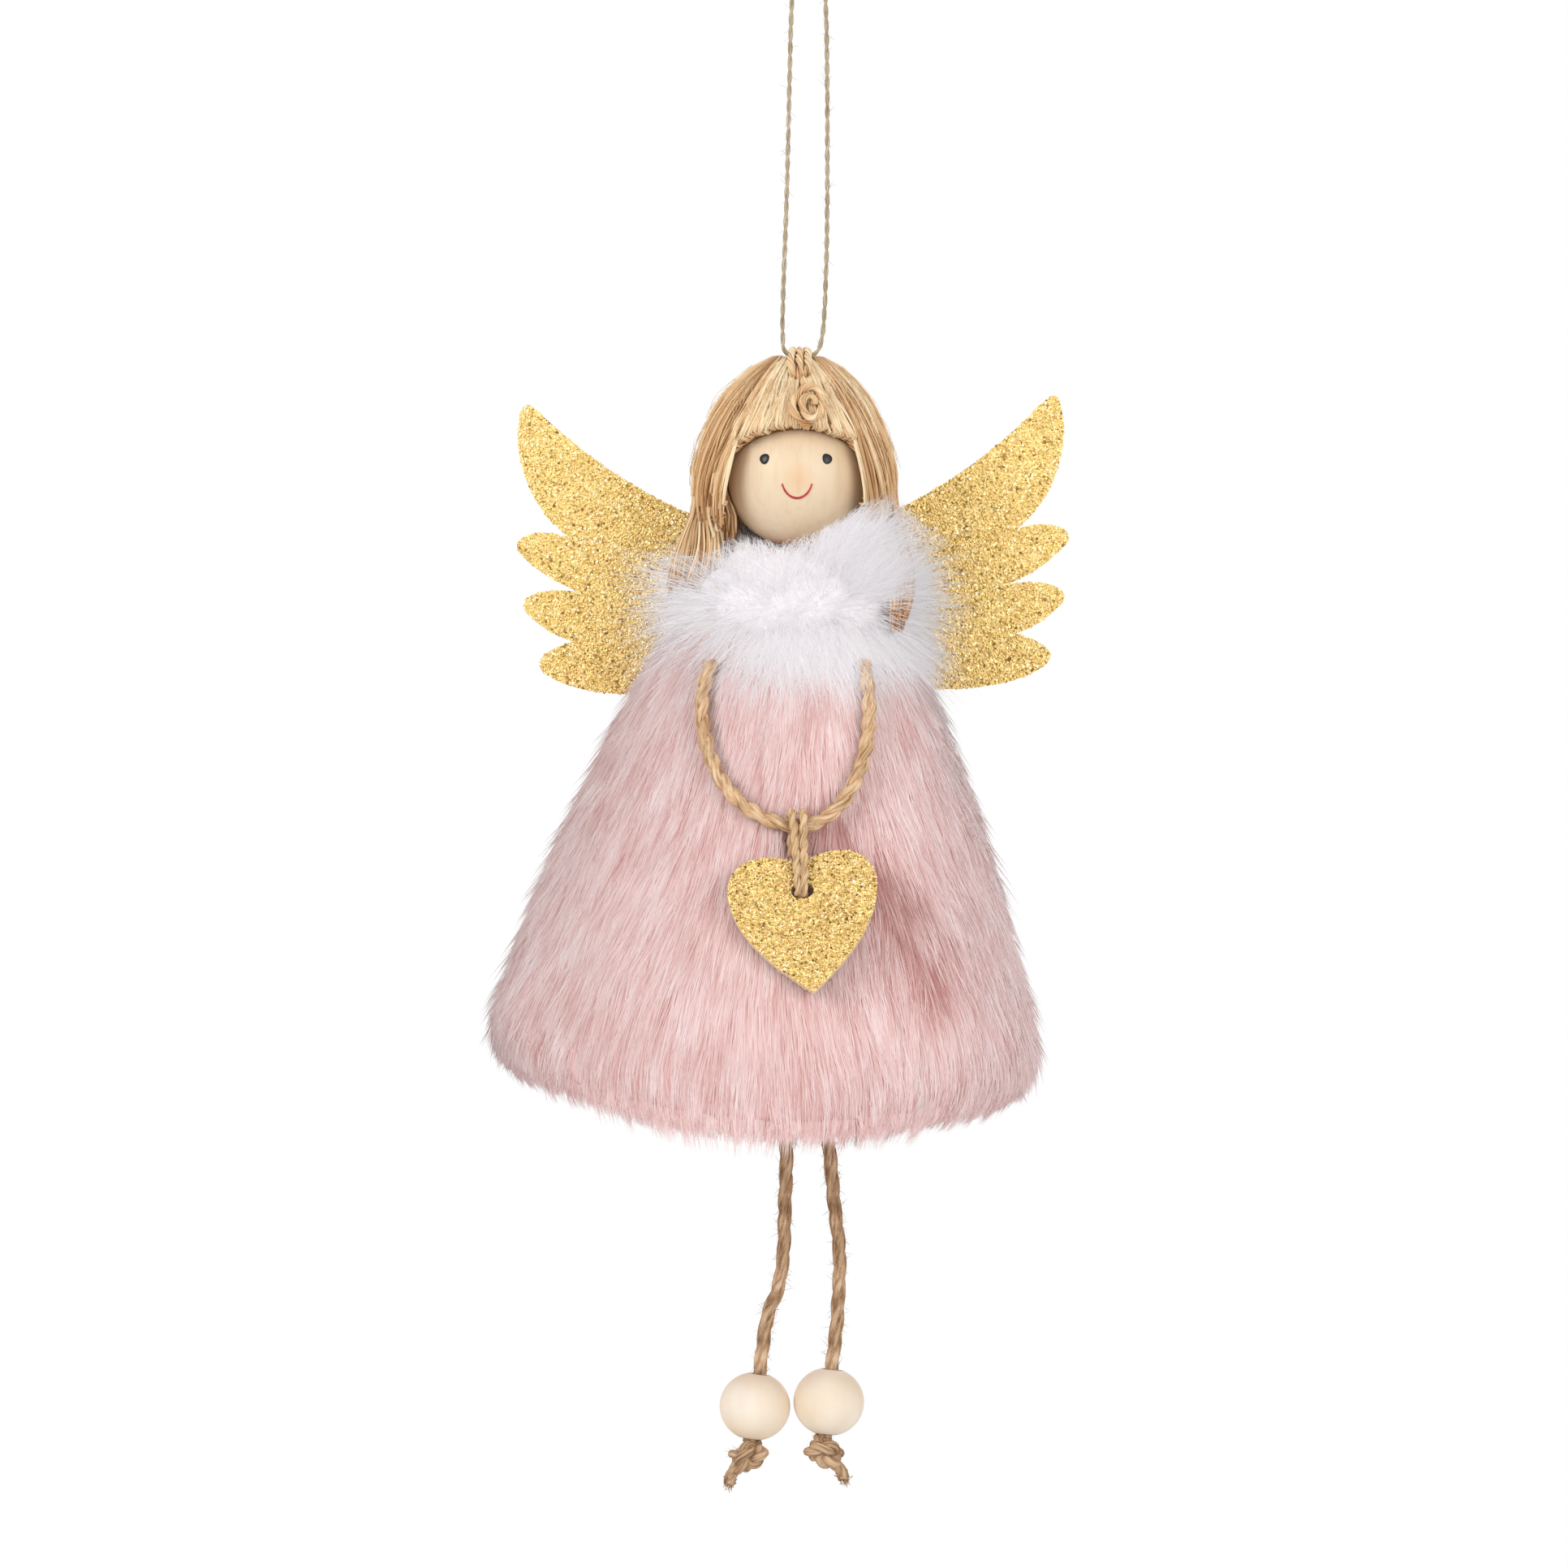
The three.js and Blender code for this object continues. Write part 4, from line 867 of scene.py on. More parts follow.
# For each leg: its side, its x at the hitch and at the hip, its bend, the middle of its bead and the tilt
# of that, the end of its tail and the slant of its knot.
LEGS = [("left", -1.6, -1.96, (-3.2, HIP_Z - 24), (-7.4, HIP_Z - 45), 8.0, (-2.9, -3.3), 35),
        ("right", 1.6, 5.4, (7.2, HIP_Z - 20), (5.35, HIP_Z - 44.2), 5.5, (3.7, -2.4), -25)]
rng = np.random.default_rng(31)
for side, hitch_x, hip_x, (bend_x, bend_z), (bead_x, bead_z), tilt, (tail_x, tail_z), slant in LEGS:
    tilt = math.radians(tilt)
    middle = np.array([AXIS_X + bead_x, 0, bead_z])
    hip = np.array([AXIS_X + hip_x, 0, HIP_Z])
    up_leg = np.array([math.sin(tilt), 0, math.cos(tilt)])
    across_leg = np.array([math.cos(tilt), 0, -math.sin(tilt)])
    foot = middle - (BEAD_HALF + GAP) * up_leg
    leg_line = smooth_path([
        (AXIS_X + hitch_x, 0, HITCH_Z - HITCH_R),
        (AXIS_X + (hitch_x * 2 + hip_x) / 3, 0, (HITCH_Z * 2 + HIP_Z) / 3),
        hip,
        (AXIS_X + bend_x, 0, bend_z),
        middle + 16 * up_leg,
        middle + BEAD_HALF * up_leg,
        foot], 0.4)
    leg = cord_piece("leg_%s_jute" % side, leg_line, CORD_R, 14.0, leg_jute, count=3)
    loose = leg_line[leg_line[:, 2] < HIP_Z + 6]
    leg_fuzz = fuzz("leg_%s_fuzz" % side, loose, CORD_R, 300, 2.0, 0.035, leg_jute)
    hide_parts("leg_%s_upper" % side, "leg_%s_cord" % side)
    for piece in (leg, leg_fuzz):
        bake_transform(piece)
    bead = turned_ball("bead_%s_wood" % side, middle, BEAD_R, BEAD_HALF, BEAD_BORE_R, tilt, bead_finish)
    fitted(bead, "bead_" + side, "bead_wood", "foot_bead_" + side)

    slant = math.radians(slant)
    knot_axes = np.array([math.cos(slant) * across_leg + math.sin(slant) * up_leg, [0, 1, 0],
                          math.cos(slant) * up_leg - math.sin(slant) * across_leg])
    knot_turns = foot - 2.55 * up_leg + knot_line(0.85, 1.4, 0.35) * [1.0, 0.85, 0.92] @ knot_axes
    knot = cord_piece("knot_%s_jute" % side, knot_turns, KNOT_R, 5.0, leg_jute)
    low = foot - 4.4 * up_leg
    tail_line = smooth_path([foot, foot - 2.2 * up_leg, low + 0.55 * tail_x * across_leg,
                             low + 0.9 * tail_x * across_leg + 0.5 * tail_z * UP,
                             low + tail_x * across_leg + tail_z * UP], 0.3)
    tail = cord_piece("tail_%s_jute" % side, tail_line, TAIL_R, 9.0, leg_jute, count=3)
    tip = tail_line[-1] + 0.7 * unit(rng.normal(size=(FRAYED_ENDS, 3)))
    way = unit(tail_line[-1] - tail_line[-5] + 0.35 * rng.normal(size=(FRAYED_ENDS, 3)) * 1.4)
    t = np.linspace(0, 1, 4)[None, :, None]
    frayed = tip[:, None] - 1.2 * way[:, None] + way[:, None] * t * rng.uniform(1.3, 2.2, (FRAYED_ENDS, 1, 1))
    fray = sweep("fray_%s_jute" % side, frayed, 0.09 * FIBRE_TAPER, 4, rng.random(FRAYED_ENDS), leg_jute)
    knot_fuzz = fuzz("knot_%s_fuzz" % side, knot_turns, TAIL_R, 120, 1.6, 0.035, leg_jute)
    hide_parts("foot_knot_" + side)
    for piece in (knot, tail, fray, knot_fuzz):
        fitted(piece, "leg_" + side, "leg_jute")

# Head: a turned ball of pale wood with a bore, threaded on the core cord. The face is painted
# on it by hand: two black dots, a thin red smile and a breath of pink between them.
HEAD = np.array([AXIS_X, 0, HEAD_Z])
BLUSH = np.array([AXIS_X + 0.3, -12.4, HEAD_Z - 1.0])
EYE_R, EYE_Z = 0.93, HEAD_Z + 2.5
EYE_RINGS = [(1.0, -0.05), (1.0, 0.02), (0.86, 0.10), (0.55, 0.17), (0.2, 0.20)]
EYE_SIDES = 28
SMILE_HALF, SMILE_DEEP, SMILE_BEND = 2.55, 2.45, 1.25
head_finish, net, shader = finish("head_wood", 0.42, 0.35)
growth = noise(net, place_on(net), 90, (1, 1, 0.12), 3)
pores = noise(net, place_on(net), 900, (1, 1, 0.08), 2)
timber = ramp(net, growth, [(0.3, (0.91, 0.81, 0.675)), (0.5, (0.925, 0.835, 0.71)),
                            (0.7, (0.935, 0.855, 0.74))])
pore = ramp(net, pores, [(0.3, (0.985, 0.97, 0.95)), (0.5, WHITE)])
from_blush = net.nodes.new("ShaderNodeVectorMath")
from_blush.operation = "DISTANCE"
from_blush.inputs[1].default_value = BLUSH * MM
net.links.new(place_on(net), from_blush.inputs[0])
spread = net.nodes.new("ShaderNodeMapRange")
spread.inputs["From Min"].default_value = 0.5 * MM
spread.inputs["From Max"].default_value = 3.2 * MM
net.links.new(from_blush.outputs["Value"], spread.inputs["Value"])
rouge = ramp(net, spread.outputs["Result"], [(0.0, (1.0, 0.93, 0.88)), (1.0, WHITE)])
coloured(net, shader, mixed(net, mixed(net, timber, pore), rouge))
bumped(net, shader, pores, 0.12, 0.03)
fitted(turned_ball("head_ball", HEAD, HEAD_R, HEAD_R, 1.9, 0, head_finish), "angel", "head_wood", "head")
black_paint = mottled("black_paint", 0.3, 0.5, 1800,
                      [(0.35, (0.05, 0.05, 0.055)), (0.65, (0.10, 0.10, 0.11))], bump=(0.2, 0.05))
red_paint = mottled("red_paint", 0.45, 0.5, 1800,
                    [(0.35, (0.66, 0.15, 0.12)), (0.65, (0.80, 0.24, 0.19))], bump=(0.2, 0.05))


def on_head(x, z, lift=0.0):
    """A place on the front of the head, from its place in the front view."""
    side, rise = x - AXIS_X, z - HEAD_Z
    spot = np.array([x, -math.sqrt(HEAD_R**2 - side**2 - rise**2), z])
    return spot + lift * unit(spot - HEAD)


for side, x in (("left", -5.74), ("right", 5.04)):
    out = unit(on_head(AXIS_X + x, EYE_Z) - HEAD)
    right = unit(np.cross(out, [0, 0, 1]))
    up = np.cross(right, out)
    points, faces = [], []
    for j, (share, lift) in enumerate(EYE_RINGS):
        for k in range(EYE_SIDES):
            turn = 2 * math.pi * k / EYE_SIDES
            wobble = 1 + 0.05 * math.sin(3 * turn + x)
            spot = HEAD_R * out + EYE_R * share * wobble * (math.cos(turn) * right + math.sin(turn) * up)
            points.append(HEAD + unit(spot) * (HEAD_R + lift))
            if j:
                a, b = (j - 1) * EYE_SIDES + k, (j - 1) * EYE_SIDES + (k + 1) % EYE_SIDES
                faces.append((a, b, b + EYE_SIDES, a + EYE_SIDES))
    faces += [tuple(range(EYE_SIDES - 1, -1, -1)), tuple(range(len(points) - EYE_SIDES, len(points)))]
    fitted(solid("eye_" + side, points, faces, black_paint), "angel", "head_wood")
smile = []
for k in range(15):
    turn = SMILE_BEND * (k / 7 - 1)
    across = SMILE_HALF * math.sin(turn) / math.sin(SMILE_BEND)
    rise = SMILE_DEEP * (1 - math.cos(turn)) / (1 - math.cos(SMILE_BEND))
    smile.append(on_head(AXIS_X - 0.14 + across, HEAD_Z - 4.25 + rise, 0.02))
smile_line = smooth_path(smile, 0.2)
brush = 0.21 * (0.55 + 0.45 * np.sin(np.linspace(0.25, math.pi - 0.25, len(smile_line))))
fitted(sweep("smile", smile_line[None], brush[None], 8, 0.5, red_paint, cell=0.9), "angel", "head_wood")

# Hair: combed jute laid over the head from one tie at the crown, cut in a fringe over the forehead
# and long at the nape. Loose locks hang beside the face, and one curl is stuck on the fringe.
HAIR_MID_Z = HEAD_Z - 2.1
FRONT = -math.pi / 2
FRINGE_ANGLE = math.radians(50)
SIDE_ANGLE = math.radians(80)
TEMPLE_Z = HEAD_Z - 3.2
WELL_Z = -70.1
LOCK_ANGLE = 0.085
HAIR_R = 0.235
# The strands are coloured darker at both ends: painted shade where they run into the tie and where they turn
# under.
hair_finish = strand_finish(
    "combed_jute",
    [(0.0, (0.64, 0.46, 0.29)), (0.25, (0.89, 0.73, 0.545)), (0.6, (0.97, 0.855, 0.69)),
     (1.0, (1.0, 0.95, 0.83))],
    [(0.0, (0.92, 0.88, 0.82)), (0.3, WHITE), (0.85, (0.97, 0.94, 0.90)), (1.0, (0.80, 0.68, 0.55))], 0.55)
# The jute under the strands is coloured dark brown: painted shade in the gaps between the strands.
under_shade_finish = jute_finish("hair_under", (0.42, 0.29, 0.17), (0.56, 0.41, 0.25), (0.68, 0.52, 0.34))
rng = np.random.default_rng(41)


def hair_half(z):
    rise = np.clip(np.abs(z - HAIR_MID_Z) / 23.8, 0, 1)
    return 18 * (1 - rise**1.85) ** (1 / 1.85)


def hair_spot(angle, z, grow=0.0):
    half = hair_half(z) + grow
    wide = np.where(np.cos(angle) > 0, 0.95, 1.03)
    return np.stack([AXIS_X + half * np.cos(angle) * wide, 0.88 * half * np.sin(angle), z + 0 * angle], -1)


def fringe_edge(angle):
    return HEAD_Z + 7.3 - 3.9 * ((angle - FRONT) / FRINGE_ANGLE) ** 2


def crown_edge(angle):
    return TEMPLE_Z - 12 * np.maximum(np.sin(angle) - 0.15, 0)


def clear_of_head(lines, room):
    away = lines - HEAD
    near = np.linalg.norm(away, axis=-1, keepdims=True) < HEAD_R + room
    return np.where(near, HEAD + unit(away) * (HEAD_R + room), lines)


def locks(count, first, last):
    """Strands gathered in flat locks: the place of each round the head, its depth and its tone."""
    number = int((last - first) / LOCK_ANGLE)
    of = rng.integers(0, number, count)
    middle = first + (np.arange(number) + rng.uniform(0.2, 0.8, number)) * (last - first) / number
    angle = np.clip(middle[of] + rng.normal(0, 0.42 * LOCK_ANGLE, count), first, last)
    aside = np.abs(angle - middle[of]) / LOCK_ANGLE
    depth = rng.uniform(0, 1, count) ** 1.5 * 0.7 + rng.uniform(0, 0.7, number)[of] + 0.8 * aside
    # Strands off the middle of their lock take darker tones: painted shade in the gaps between locks.
    tone = 0.72 + rng.normal(0, 0.12, number)[of] + rng.normal(0, 0.16, count) - 0.30 * aside
    return angle, depth, tone


def combed(angle, edge, depth, tuck):
    """Strands from the tie down over the hair form, with their ends turned under by the tuck."""
    count = len(angle)
    top = WELL_Z - 0.3
    down = np.linspace(0, 1, 12)[None]
    z = top + (edge - top)[:, None] * down**1.15
    aside = short_way(angle - FRONT)
    beat = 2.4 * np.round(angle / LOCK_ANGLE)[:, None]
    sway = 0.02 * np.sin(2.5 * down * math.pi + beat)
    sway = sway + 0.02 * np.sin(4 * down + beat * 3 + rng.uniform(0, 2, (count, 1)))
    fan = 1 - 0.42 * (1 - down) * np.clip((1.9 - np.abs(aside)) / 0.8, 0, 1)[:, None]
    heave = 0.28 * np.sin(5.5 * down + 1.7 * beat) * np.sin(math.pi * down)
    rough = 0.04 * rng.normal(size=(count, 12)).cumsum(1)
    lines = hair_spot(FRONT + aside[:, None] * fan + sway, z, heave - depth[:, None] + rough)
    start = np.stack([AXIS_X + WRAP_X + 1.6 * np.cos(angle), 0.6 * np.sin(angle),
                      np.full(count, CROWN_Z - 2.6)], axis=-1)
    rise = np.stack([AXIS_X + 3.4 * np.cos(angle), 3.0 * np.sin(angle), WELL_Z + 0.15 - depth], axis=-1)
    lines[:, 0] = 0.5 * (lines[:, 0] + rise) + [0, 0, 0.1]
    under = lines[:, -1].copy()
    inward = unit((HEAD - under) * [1, 1, 0])
    ends = np.stack([under + tuck[:, None] * (0.45 * inward + [0, 0, -0.1]),
                     under + tuck[:, None] * (1.0 * inward + [0, 0, 0.1])], axis=1)
    return clear_of_head(np.concatenate([start[:, None], rise[:, None], lines, ends], axis=1), 0.3)


def strand_bundle(name, lines, size, tones, *nodes, sides=5, body="angel"):
    n, k, _ = lines.shape
    size = size * rng.uniform(0.75, 1.3, (n, 1)) * np.linspace(1, 0.8, k)[None]
    piece = sweep(name, lines, size, sides, np.clip(tones, 0.02, 0.97), hair_finish)
    fitted(piece, body, "straw", *nodes)


def yarn(line, axis, thick, count, twist=0.25):
    """Fibres laid loosely together along a line."""
    side = unit(np.cross(np.gradient(line, axis=0), axis))
    reach = thick * np.sqrt(rng.random((count, 1)))
    turn = rng.uniform(0, 6.28, (count, 1)) + twist * np.arange(len(line))
    across, over = (reach * np.cos(turn))[..., None], (reach * np.sin(turn))[..., None]
    return line + across * side + over * np.array(axis, float)


def hair_mass(name, start, end, edge, columns, rows):
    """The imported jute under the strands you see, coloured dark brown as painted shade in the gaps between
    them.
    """
    lay, down = np.meshgrid(np.linspace(start, end, columns + 1), np.linspace(0, 1, rows + 1), indexing="ij")
    outer = hair_spot(lay, WELL_Z + (edge(lay) - WELL_Z) * down, -0.75)
    piece = wall(name, outer, HEAD + unit(outer - HEAD) * (HEAD_R + 0.25), under_shade_finish, False)
    spots = np.array([piece.data.vertices[loop.vertex_index].co for loop in piece.data.loops])
    combing = np.stack([np.arctan2(spots[:, 1], spots[:, 0] - AXIS_X * MM) * 4, spots[:, 2] * 60], axis=1)
    piece.data.uv_layers["Strand"].data.foreach_set("uv", combing.reshape(-1).astype(np.float32))
    fitted(piece, "angel", "straw")


hair_mass("hair_under_front", FRONT - FRINGE_ANGLE, FRONT + FRINGE_ANGLE,
          lambda a: fringe_edge(a) + 2.0, 30, 12)
hair_mass("hair_under_back", FRONT + SIDE_ANGLE, FRONT - SIDE_ANGLE + 2 * math.pi,
          lambda a: crown_edge(a) + 0.5, 70, 16)
n = 520
angle, depth, tone = locks(n, FRONT - 1.04 * FRINGE_ANGLE, FRONT + 1.04 * FRINGE_ANGLE)
fringe = combed(angle, fringe_edge(angle) + 1.3 + rng.normal(0, 0.35, n), depth, rng.uniform(2.0, 3.6, n))
strand_bundle("hair_fringe_jute", fringe, 0.23, tone + 0.08, "hair_fringe")
n = 1050
angle, depth, tone = locks(n, FRONT + 0.97 * FRINGE_ANGLE, FRONT - 0.97 * FRINGE_ANGLE + 2 * math.pi)
beside = np.exp(-(((np.abs(short_way(angle - FRONT)) - 1.25) / 0.35) ** 2))
edge = crown_edge(angle) - 0.6 + rng.normal(0, 0.5, n) - beside * rng.uniform(0, 7, n)
over_head = combed(angle, edge, depth, rng.uniform(0.2, 1.4, n))
# The crown strands take lighter tones than the fringe: painted light against the shade on the sides of the
# head.
strand_bundle("hair_crown_jute", over_head, HAIR_R, tone + 0.25, "hair_crown")
n = 360
aside = rng.uniform(1.02 * FRINGE_ANGLE, SIDE_ANGLE + 0.2, n)
angle = FRONT + rng.choice([-1, 1], n) * aside
room = 17.4 - (HEAD_R + 0.6) / np.sin(aside)
deep = combed(angle, crown_edge(angle) - rng.uniform(0, 6, n), room * rng.random(n), rng.uniform(0.1, 0.3, n))
# The deep strands take dark tones: painted shade under the outer hair.
strand_bundle("hair_deep_jute", deep, HAIR_R, rng.normal(0.25, 0.15, n))

# Short strands close beside the jaw
n = 170
side = np.where(rng.random((n, 1)) < 0.6, -1, 1)
t = np.linspace(0, 1, 8)[None]
z = TEMPLE_Z + 3 - t * np.where(side < 0, rng.uniform(8, 12, (n, 1)), rng.uniform(5, 8, (n, 1)))
y = rng.uniform(-3.5, 4, (n, 1)) + 0.3 * np.sin(5 * t + rng.uniform(0, 6, (n, 1)))
far = HEAD_R + rng.uniform(0.5, 1.8, (n, 1))
x = AXIS_X + side * np.sqrt(far**2 - np.clip(z - HEAD_Z, -6.5, 6.5) ** 2 - y**2)
# The strands beside the jaw take dark tones: painted shade beside the face.
strand_bundle("hair_jaw_jute", np.stack([x, y, z], -1), HAIR_R, rng.normal(0.35, 0.2, n))

# Stray fibres that stand a little off the hair
n = 300
angle = rng.uniform(0, 2 * math.pi, n)
t = np.linspace(0, 1, 5)[None]
reach = rng.uniform(3, 8, (n, 1))
at_front = np.abs(short_way(angle - FRONT)) < 1.15 * FRINGE_ANGLE
low = np.where(at_front, fringe_edge(FRONT) + 1.5, crown_edge(angle)) + 0.8 * reach[:, 0]
z = low + rng.random(n) * (-71 - low)
stray = hair_spot(angle[:, None] + rng.normal(0, 0.10, (n, 1)) * t, z[:, None] - reach * t * 0.8,
                  0.1 + rng.gamma(1.2, 0.28, (n, 1)) * np.sin(t * rng.uniform(1.5, 3.1, (n, 1))))
strand_bundle("hair_stray_jute", stray, 0.045, rng.normal(0.75, 0.15, n), sides=3)

# The two locks, as (x, y, z, half width) down their middles
LOCK_Z = TEMPLE_Z - GAP
LEFT_LOCK = [(-14.9, -2.5, -84.5, 1.9), (-16.3, -2.2, -89.5, 2.2), (-15.9, -2, LOCK_Z, 2.3),
             (-16.2, -2.2, LOCK_Z - 3, 2.5), (-16.6, -2.6, LOCK_Z - 8, 4.0), (-17.2, -3, LOCK_Z - 13, 5.2),
             (-17.5, -3, LOCK_Z - 16.5, 5.6)]
RIGHT_LOCK = [(13.4, -2.5, -84.5, 1.9), (14.9, -2.2, -89.5, 2.2), (14.8, -2, LOCK_Z, 2.4),
              (15.6, -4, LOCK_Z - 7, 3.0), (17.4, -8, LOCK_Z - 14, 3.0), (17.6, -11, LOCK_Z - 19, 2.3),
              (16.9, -12.4, LOCK_Z - 22.3, 1.3)]
for node, stations, n, tone in (("hair_lock_left", LEFT_LOCK, 110, 0.55),
                                ("hair_lock_right", RIGHT_LOCK, 120, 0.35)):
    stations = np.array(stations)
    middle = smooth_path(stations[:, :3] + [AXIS_X, 0, 0], 1.2)
    share = np.linspace(0, 1, len(middle))
    halves = np.interp(share, np.linspace(0, 1, len(stations)), stations[:, 3])
    turn = rng.uniform(0, 2 * math.pi, (n, 1))
    spread = np.sqrt(rng.uniform(0.02, 1, (n, 1))) * halves
    twist = turn + rng.normal(0, 0.35, (n, 1)) * share + 0.12 * np.sin(share * 9 + turn * 3)
    lines = middle + np.stack([spread * np.cos(twist), spread * np.sin(twist) * 0.85, 0 * spread], axis=-1)
    lines[:, -1, 2] += rng.uniform(-1.6, 2.2, n)
    lines[:, -2, 2] += rng.uniform(-0.7, 0.9, n)
    strand_bundle(node + "_jute", lines, 0.21, rng.normal(tone, 0.22, n), node)

CURL_X, CURL_Z = 2.1, HEAD_Z + 11.8
coil = []
for k in range(22):
    turn = 2 * math.pi * k / 12
    reach = 0.75 + 1.35 * k / 12
    x = CURL_X + reach * math.cos(turn)
    z = CURL_Z + 1.25 * reach * math.sin(turn)
    coil.append((AXIS_X + x, -0.88 * math.sqrt(float(hair_half(z)) ** 2 - x * x) - 0.75, z))
curl_line = smooth_path(coil, 0.25)
strand_bundle("hair_curl_jute", yarn(curl_line, (0, 1, 0), 0.6, 20), 0.17,
              rng.normal(0.65, 0.2, 20), "hair_curl")
fitted(fuzz("hair_curl_fuzz", curl_line, 0.5, 70, 1.6, 0.035, straw), "angel", "straw")

# The ends of the tie are laid forward over the hair and stuck down above the curl.
for k, drop in enumerate((2.9, 3.5, 2.7)):
    tie_end = [(1.1, -1.2, 0.5), (1.3, -3.4, 0.8), (1.45, -5.6, 0.2), (1.5, -7.7, -1.5), (1.3, -8.9, -drop),
               (1.1, -8.6, -drop - 0.9)]
    tie_end = [(AXIS_X + WRAP_X + aside * (k - 1), y, CROWN_Z + rise) for aside, y, rise in tie_end]
    end_line = smooth_path(tie_end, 0.3)
    strand_bundle("hair_tie_end_%d" % (k + 1), yarn(end_line, (1, 0, 0), 0.6, 18, 0.3), 0.17,
                  rng.normal(0.62, 0.22, 18))

WRAP_R = 1.25
wrap = []
for k in range(37):
    turn = 2 * math.pi * k / 12
    x = AXIS_X + WRAP_X + (k / 12 - 1.5) * 1.15
    wrap.append((x, WRAP_R * math.sin(turn), CROWN_Z - WRAP_R * math.cos(turn)))
strand_bundle("crown_wrap_jute", yarn(smooth_path(wrap, 0.2), (1, 0, 0), 0.42, 16, 0.3), 0.16,
              rng.normal(0.6, 0.2, 16), "crown_wrap", body="crown")

# Collar: a strip of white marabou plume wound round the neck. Its downy barbs spray out from
# the strip in every direction, thick at the throat and thin over the wings and the dress.
# The down is coloured a little greyer at the root: painted shade where the barbs leave the strip.
plume_finish = strand_finish(
    "plume_down", [(0.0, (0.905, 0.88, 0.895)), (0.4, (0.97, 0.95, 0.96)), (1.0, (0.995, 0.99, 0.995))],
    [(0.0, (0.95, 0.94, 0.95)), (0.6, WHITE), (1.0, WHITE)], 0.6, 0.25)
plume_close = mottled("plume_close", 0.9, 0.1, 500, [(0.3, (0.92, 0.90, 0.915)), (0.6, (0.965, 0.95, 0.96))],
                      detail=5, bump=(0.7, 0.5))
rng = np.random.default_rng(51)
COLLAR_Z = NECK_Z - 8.6
COLLAR_TILT = math.tan(math.radians(12))
BARB_R = 0.046
# The top edge of the plume in the front view
EDGE_X = [-30, -15.8, -10.9, -3.2, 2.4, 8, 12.9, 17, 22, 30]
EDGE_Z = [-103, -104, -100.6, -102.6, -101, -98.2, -94.4, -93.2, -98, -104]


def strip_middle(angle, upper):
    """The strip goes round twice: a wide lower turn on the shoulders and a close one at the throat."""
    wide, deep, z = (9.4, 8.6, COLLAR_Z + 5.2) if upper else (12.5, 11, COLLAR_Z)
    y = deep * np.sin(angle)
    return np.stack([AXIS_X + wide * np.cos(angle), y, z + y * COLLAR_TILT], axis=-1)


def settled(lines, slack):
    """Down lies round the head, below the top edge of the plume and in front of the wings."""
    lines = clear_of_head(lines, 0.5)
    edge = np.interp(lines[..., 0] - AXIS_X, EDGE_X, EDGE_Z) + slack
    over = (lines[..., 2] > edge) & (lines[..., 1] < 2)
    lines[..., 2] = np.where(over, edge - 0.35 * (lines[..., 2] - edge), lines[..., 2])
    lines[..., 1] = np.minimum(lines[..., 1], WING_Y - 0.6 + 0.3 * slack)
    return lines


def straight_out(angle):
    return np.stack([np.cos(angle), np.sin(angle), 0 * angle], -1)


def barbs(name, angle, lift, length, stout, spray=0.5, upper=False, lean=0.0):
    """Downy fibres from the strip; lift is the angle above level, seen along the strip."""
    n = len(angle)
    core = strip_middle(angle, upper) + rng.normal(0, 1.1, (n, 3))
    out = straight_out(angle)
    along = rng.normal(lean, spray, (n, 1)) * straight_out(angle + math.pi / 2)
    way = unit(np.cos(lift)[:, None] * out + np.sin(lift)[:, None] * UP + along)
    curl = unit(rng.normal(size=(n, 3))) * 0.28 + [0, 0, -0.12]
    t = np.linspace(0, 1, 5)[None, :, None]
    lines = settled(core[:, None] + length[:, None, None] * (way[:, None] * t + curl[:, None] * t**2),
                    rng.uniform(-0.8, 0.9, (n, 1)))
    radii = stout * rng.uniform(0.7, 1.3, (n, 1)) * np.array([1, 0.95, 0.85, 0.65, 0.3])
    piece = sweep(name, lines, radii, 3, rng.random(n), plume_finish, pointed=True,
                  lie=unit(0.35 * way + out + [0, -0.5, 0.2]))
    return fitted(piece, "angel", "plume")


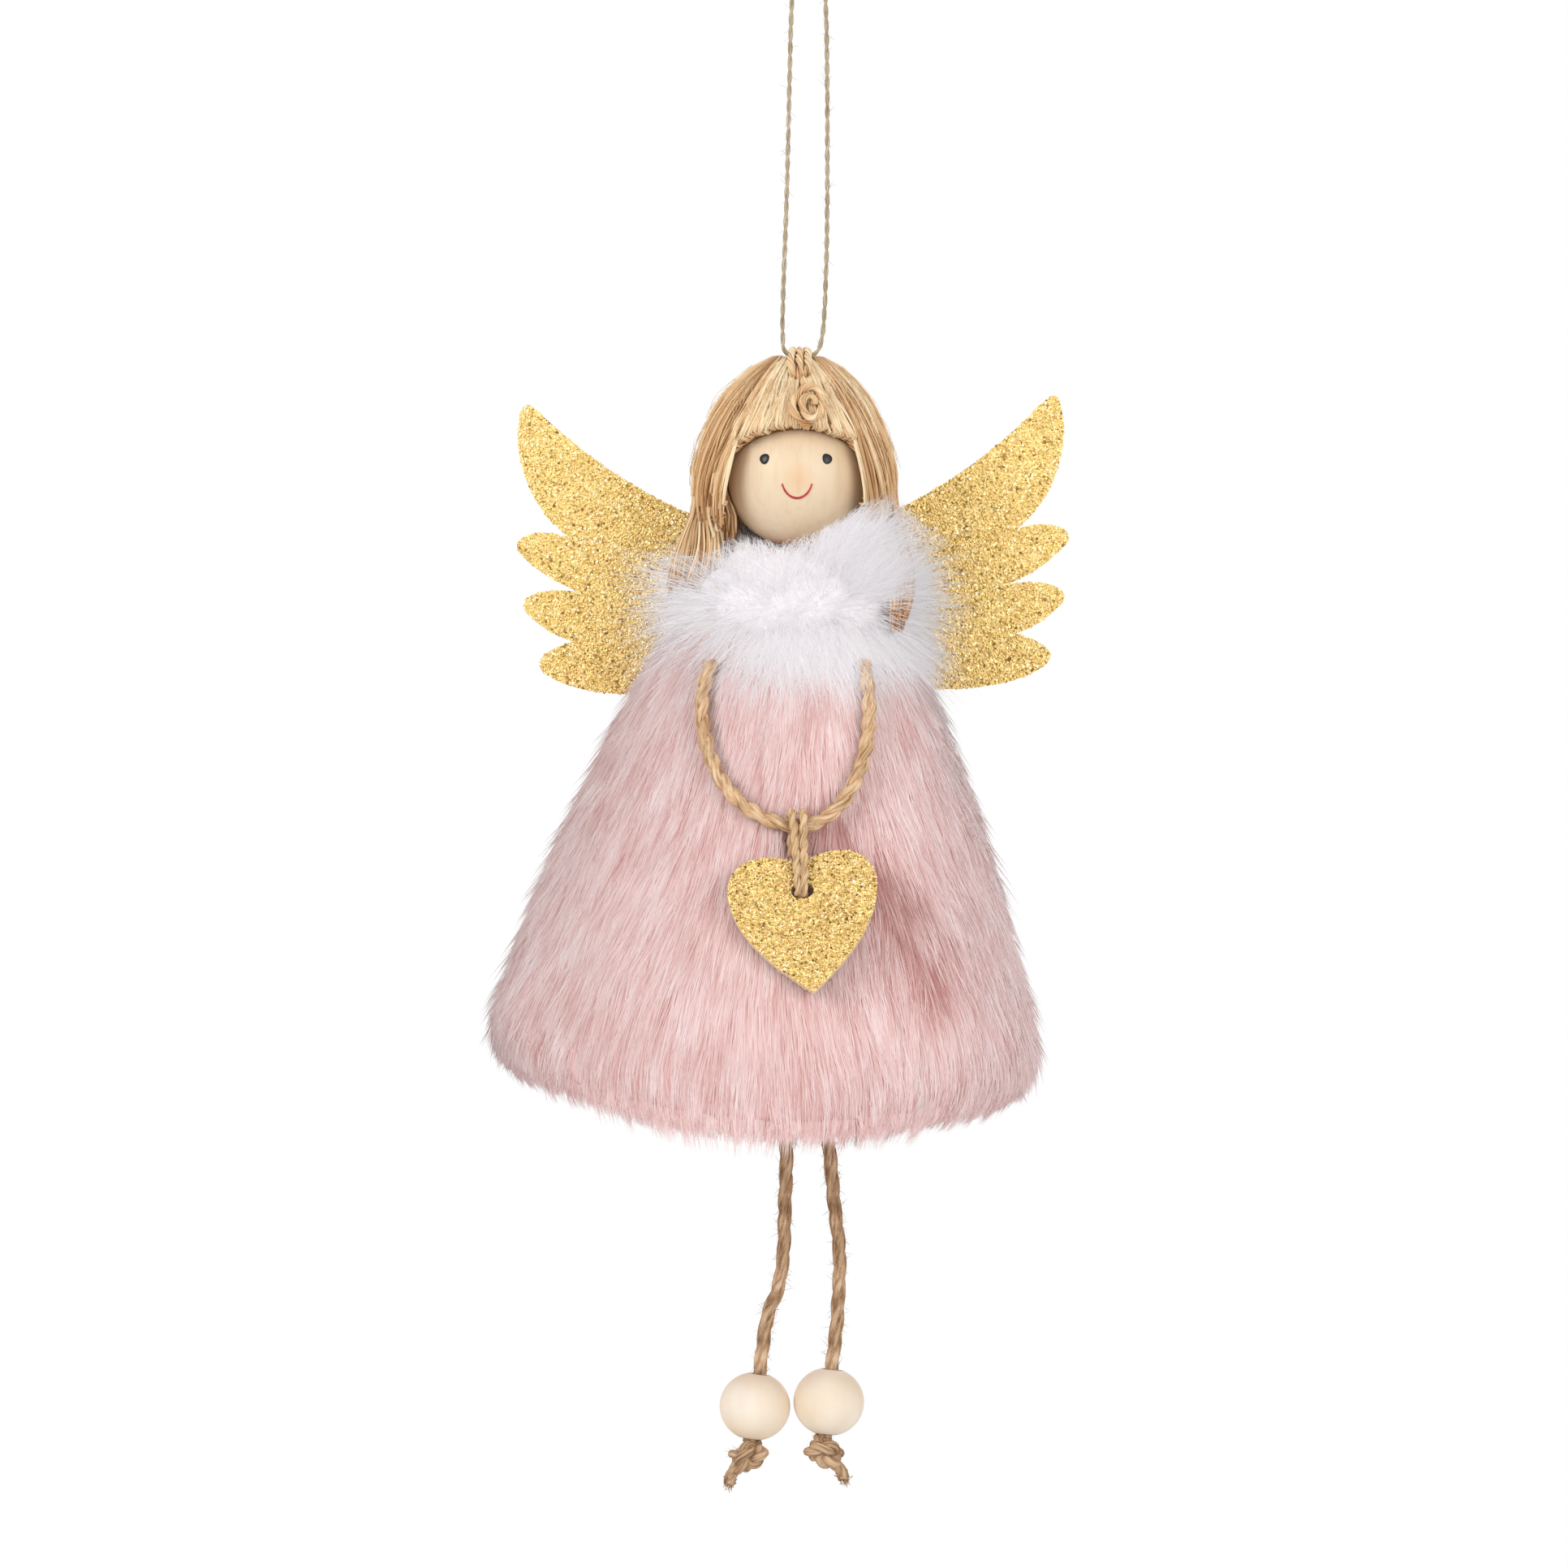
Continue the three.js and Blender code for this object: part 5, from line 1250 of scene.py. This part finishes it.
def close_down(puff, upper):
    """The outside of the close down round the strip."""
    def face(angle, v):
        lift = math.pi + 2 * np.pi * v
        thick = puff * (1 + 0.13 * np.sin(5 * angle + 2 * lift) + 0.09 * np.sin(13 * angle - 3 * lift))
        ring = strip_middle(angle, upper) + (thick * np.cos(lift))[..., None] * straight_out(angle)
        ring[..., 2] += thick * np.sin(lift)
        return settled(ring, 0 * angle - 1.0)
    return face


for name, puff, upper in (("collar_close_lower", 6.0, False), ("collar_close_upper", 4.2, True)):
    core = shell(name, close_down(puff, upper), close_down(0.8, upper), 160, 40, plume_close)
    fitted(core, "angel", "plume")
n = 8500
for k in range(3):
    down = barbs("collar_down_%d" % (k + 1), rng.uniform(0, 2 * math.pi, n), rng.uniform(-1.9, 1.5, n),
                 rng.gamma(9, 1.1, n), BARB_R)
    if k == 0:
        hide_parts("collar")
n = 6500
for k in range(2):
    angle = np.where(rng.random(n) < 0.6, FRONT + rng.normal(0, 0.9, n), rng.uniform(0, 6.28, n))
    barbs("collar_fall_%d" % (k + 1), angle, rng.uniform(-1.15, -0.7, n), rng.uniform(11, 19, n), 0.045, 0.35)
# Each spray of barbs: how many, the places round the neck, the lifts and the lengths between which they
# lie, and their radius, spread, turn of the strip and lean
for name, n, angles, lifts, lengths, stout, spray, upper, lean in (
        ("peak", 3400, (-1.35, -0.55), (0.55, 1.25), (9, 19), 0.045, 0.3, True, 0.35),
        ("veil", 2600, (-1.0, -0.5), (0.4, 1.05), (10, 17), 0.042, 0.25, False, 0.1),
        ("throat", 7000, (0, 2 * math.pi), (-0.6, 1.9), (4, 9), BARB_R, 0.5, True, 0.0),
        ("wisps_left", 700, (math.pi - 0.2, math.pi + 0.8), (-0.8, 0.7), (12, 21), 0.035, 0.3, False, 0.0),
        ("wisps_right", 700, (-0.8, 0.2), (-0.9, 0.8), (11, 19), 0.035, 0.3, False, 0.0)):
    barbs("collar_" + name, rng.uniform(*angles, n), rng.uniform(*lifts, n), rng.uniform(*lengths, n),
          stout, spray, upper, lean)
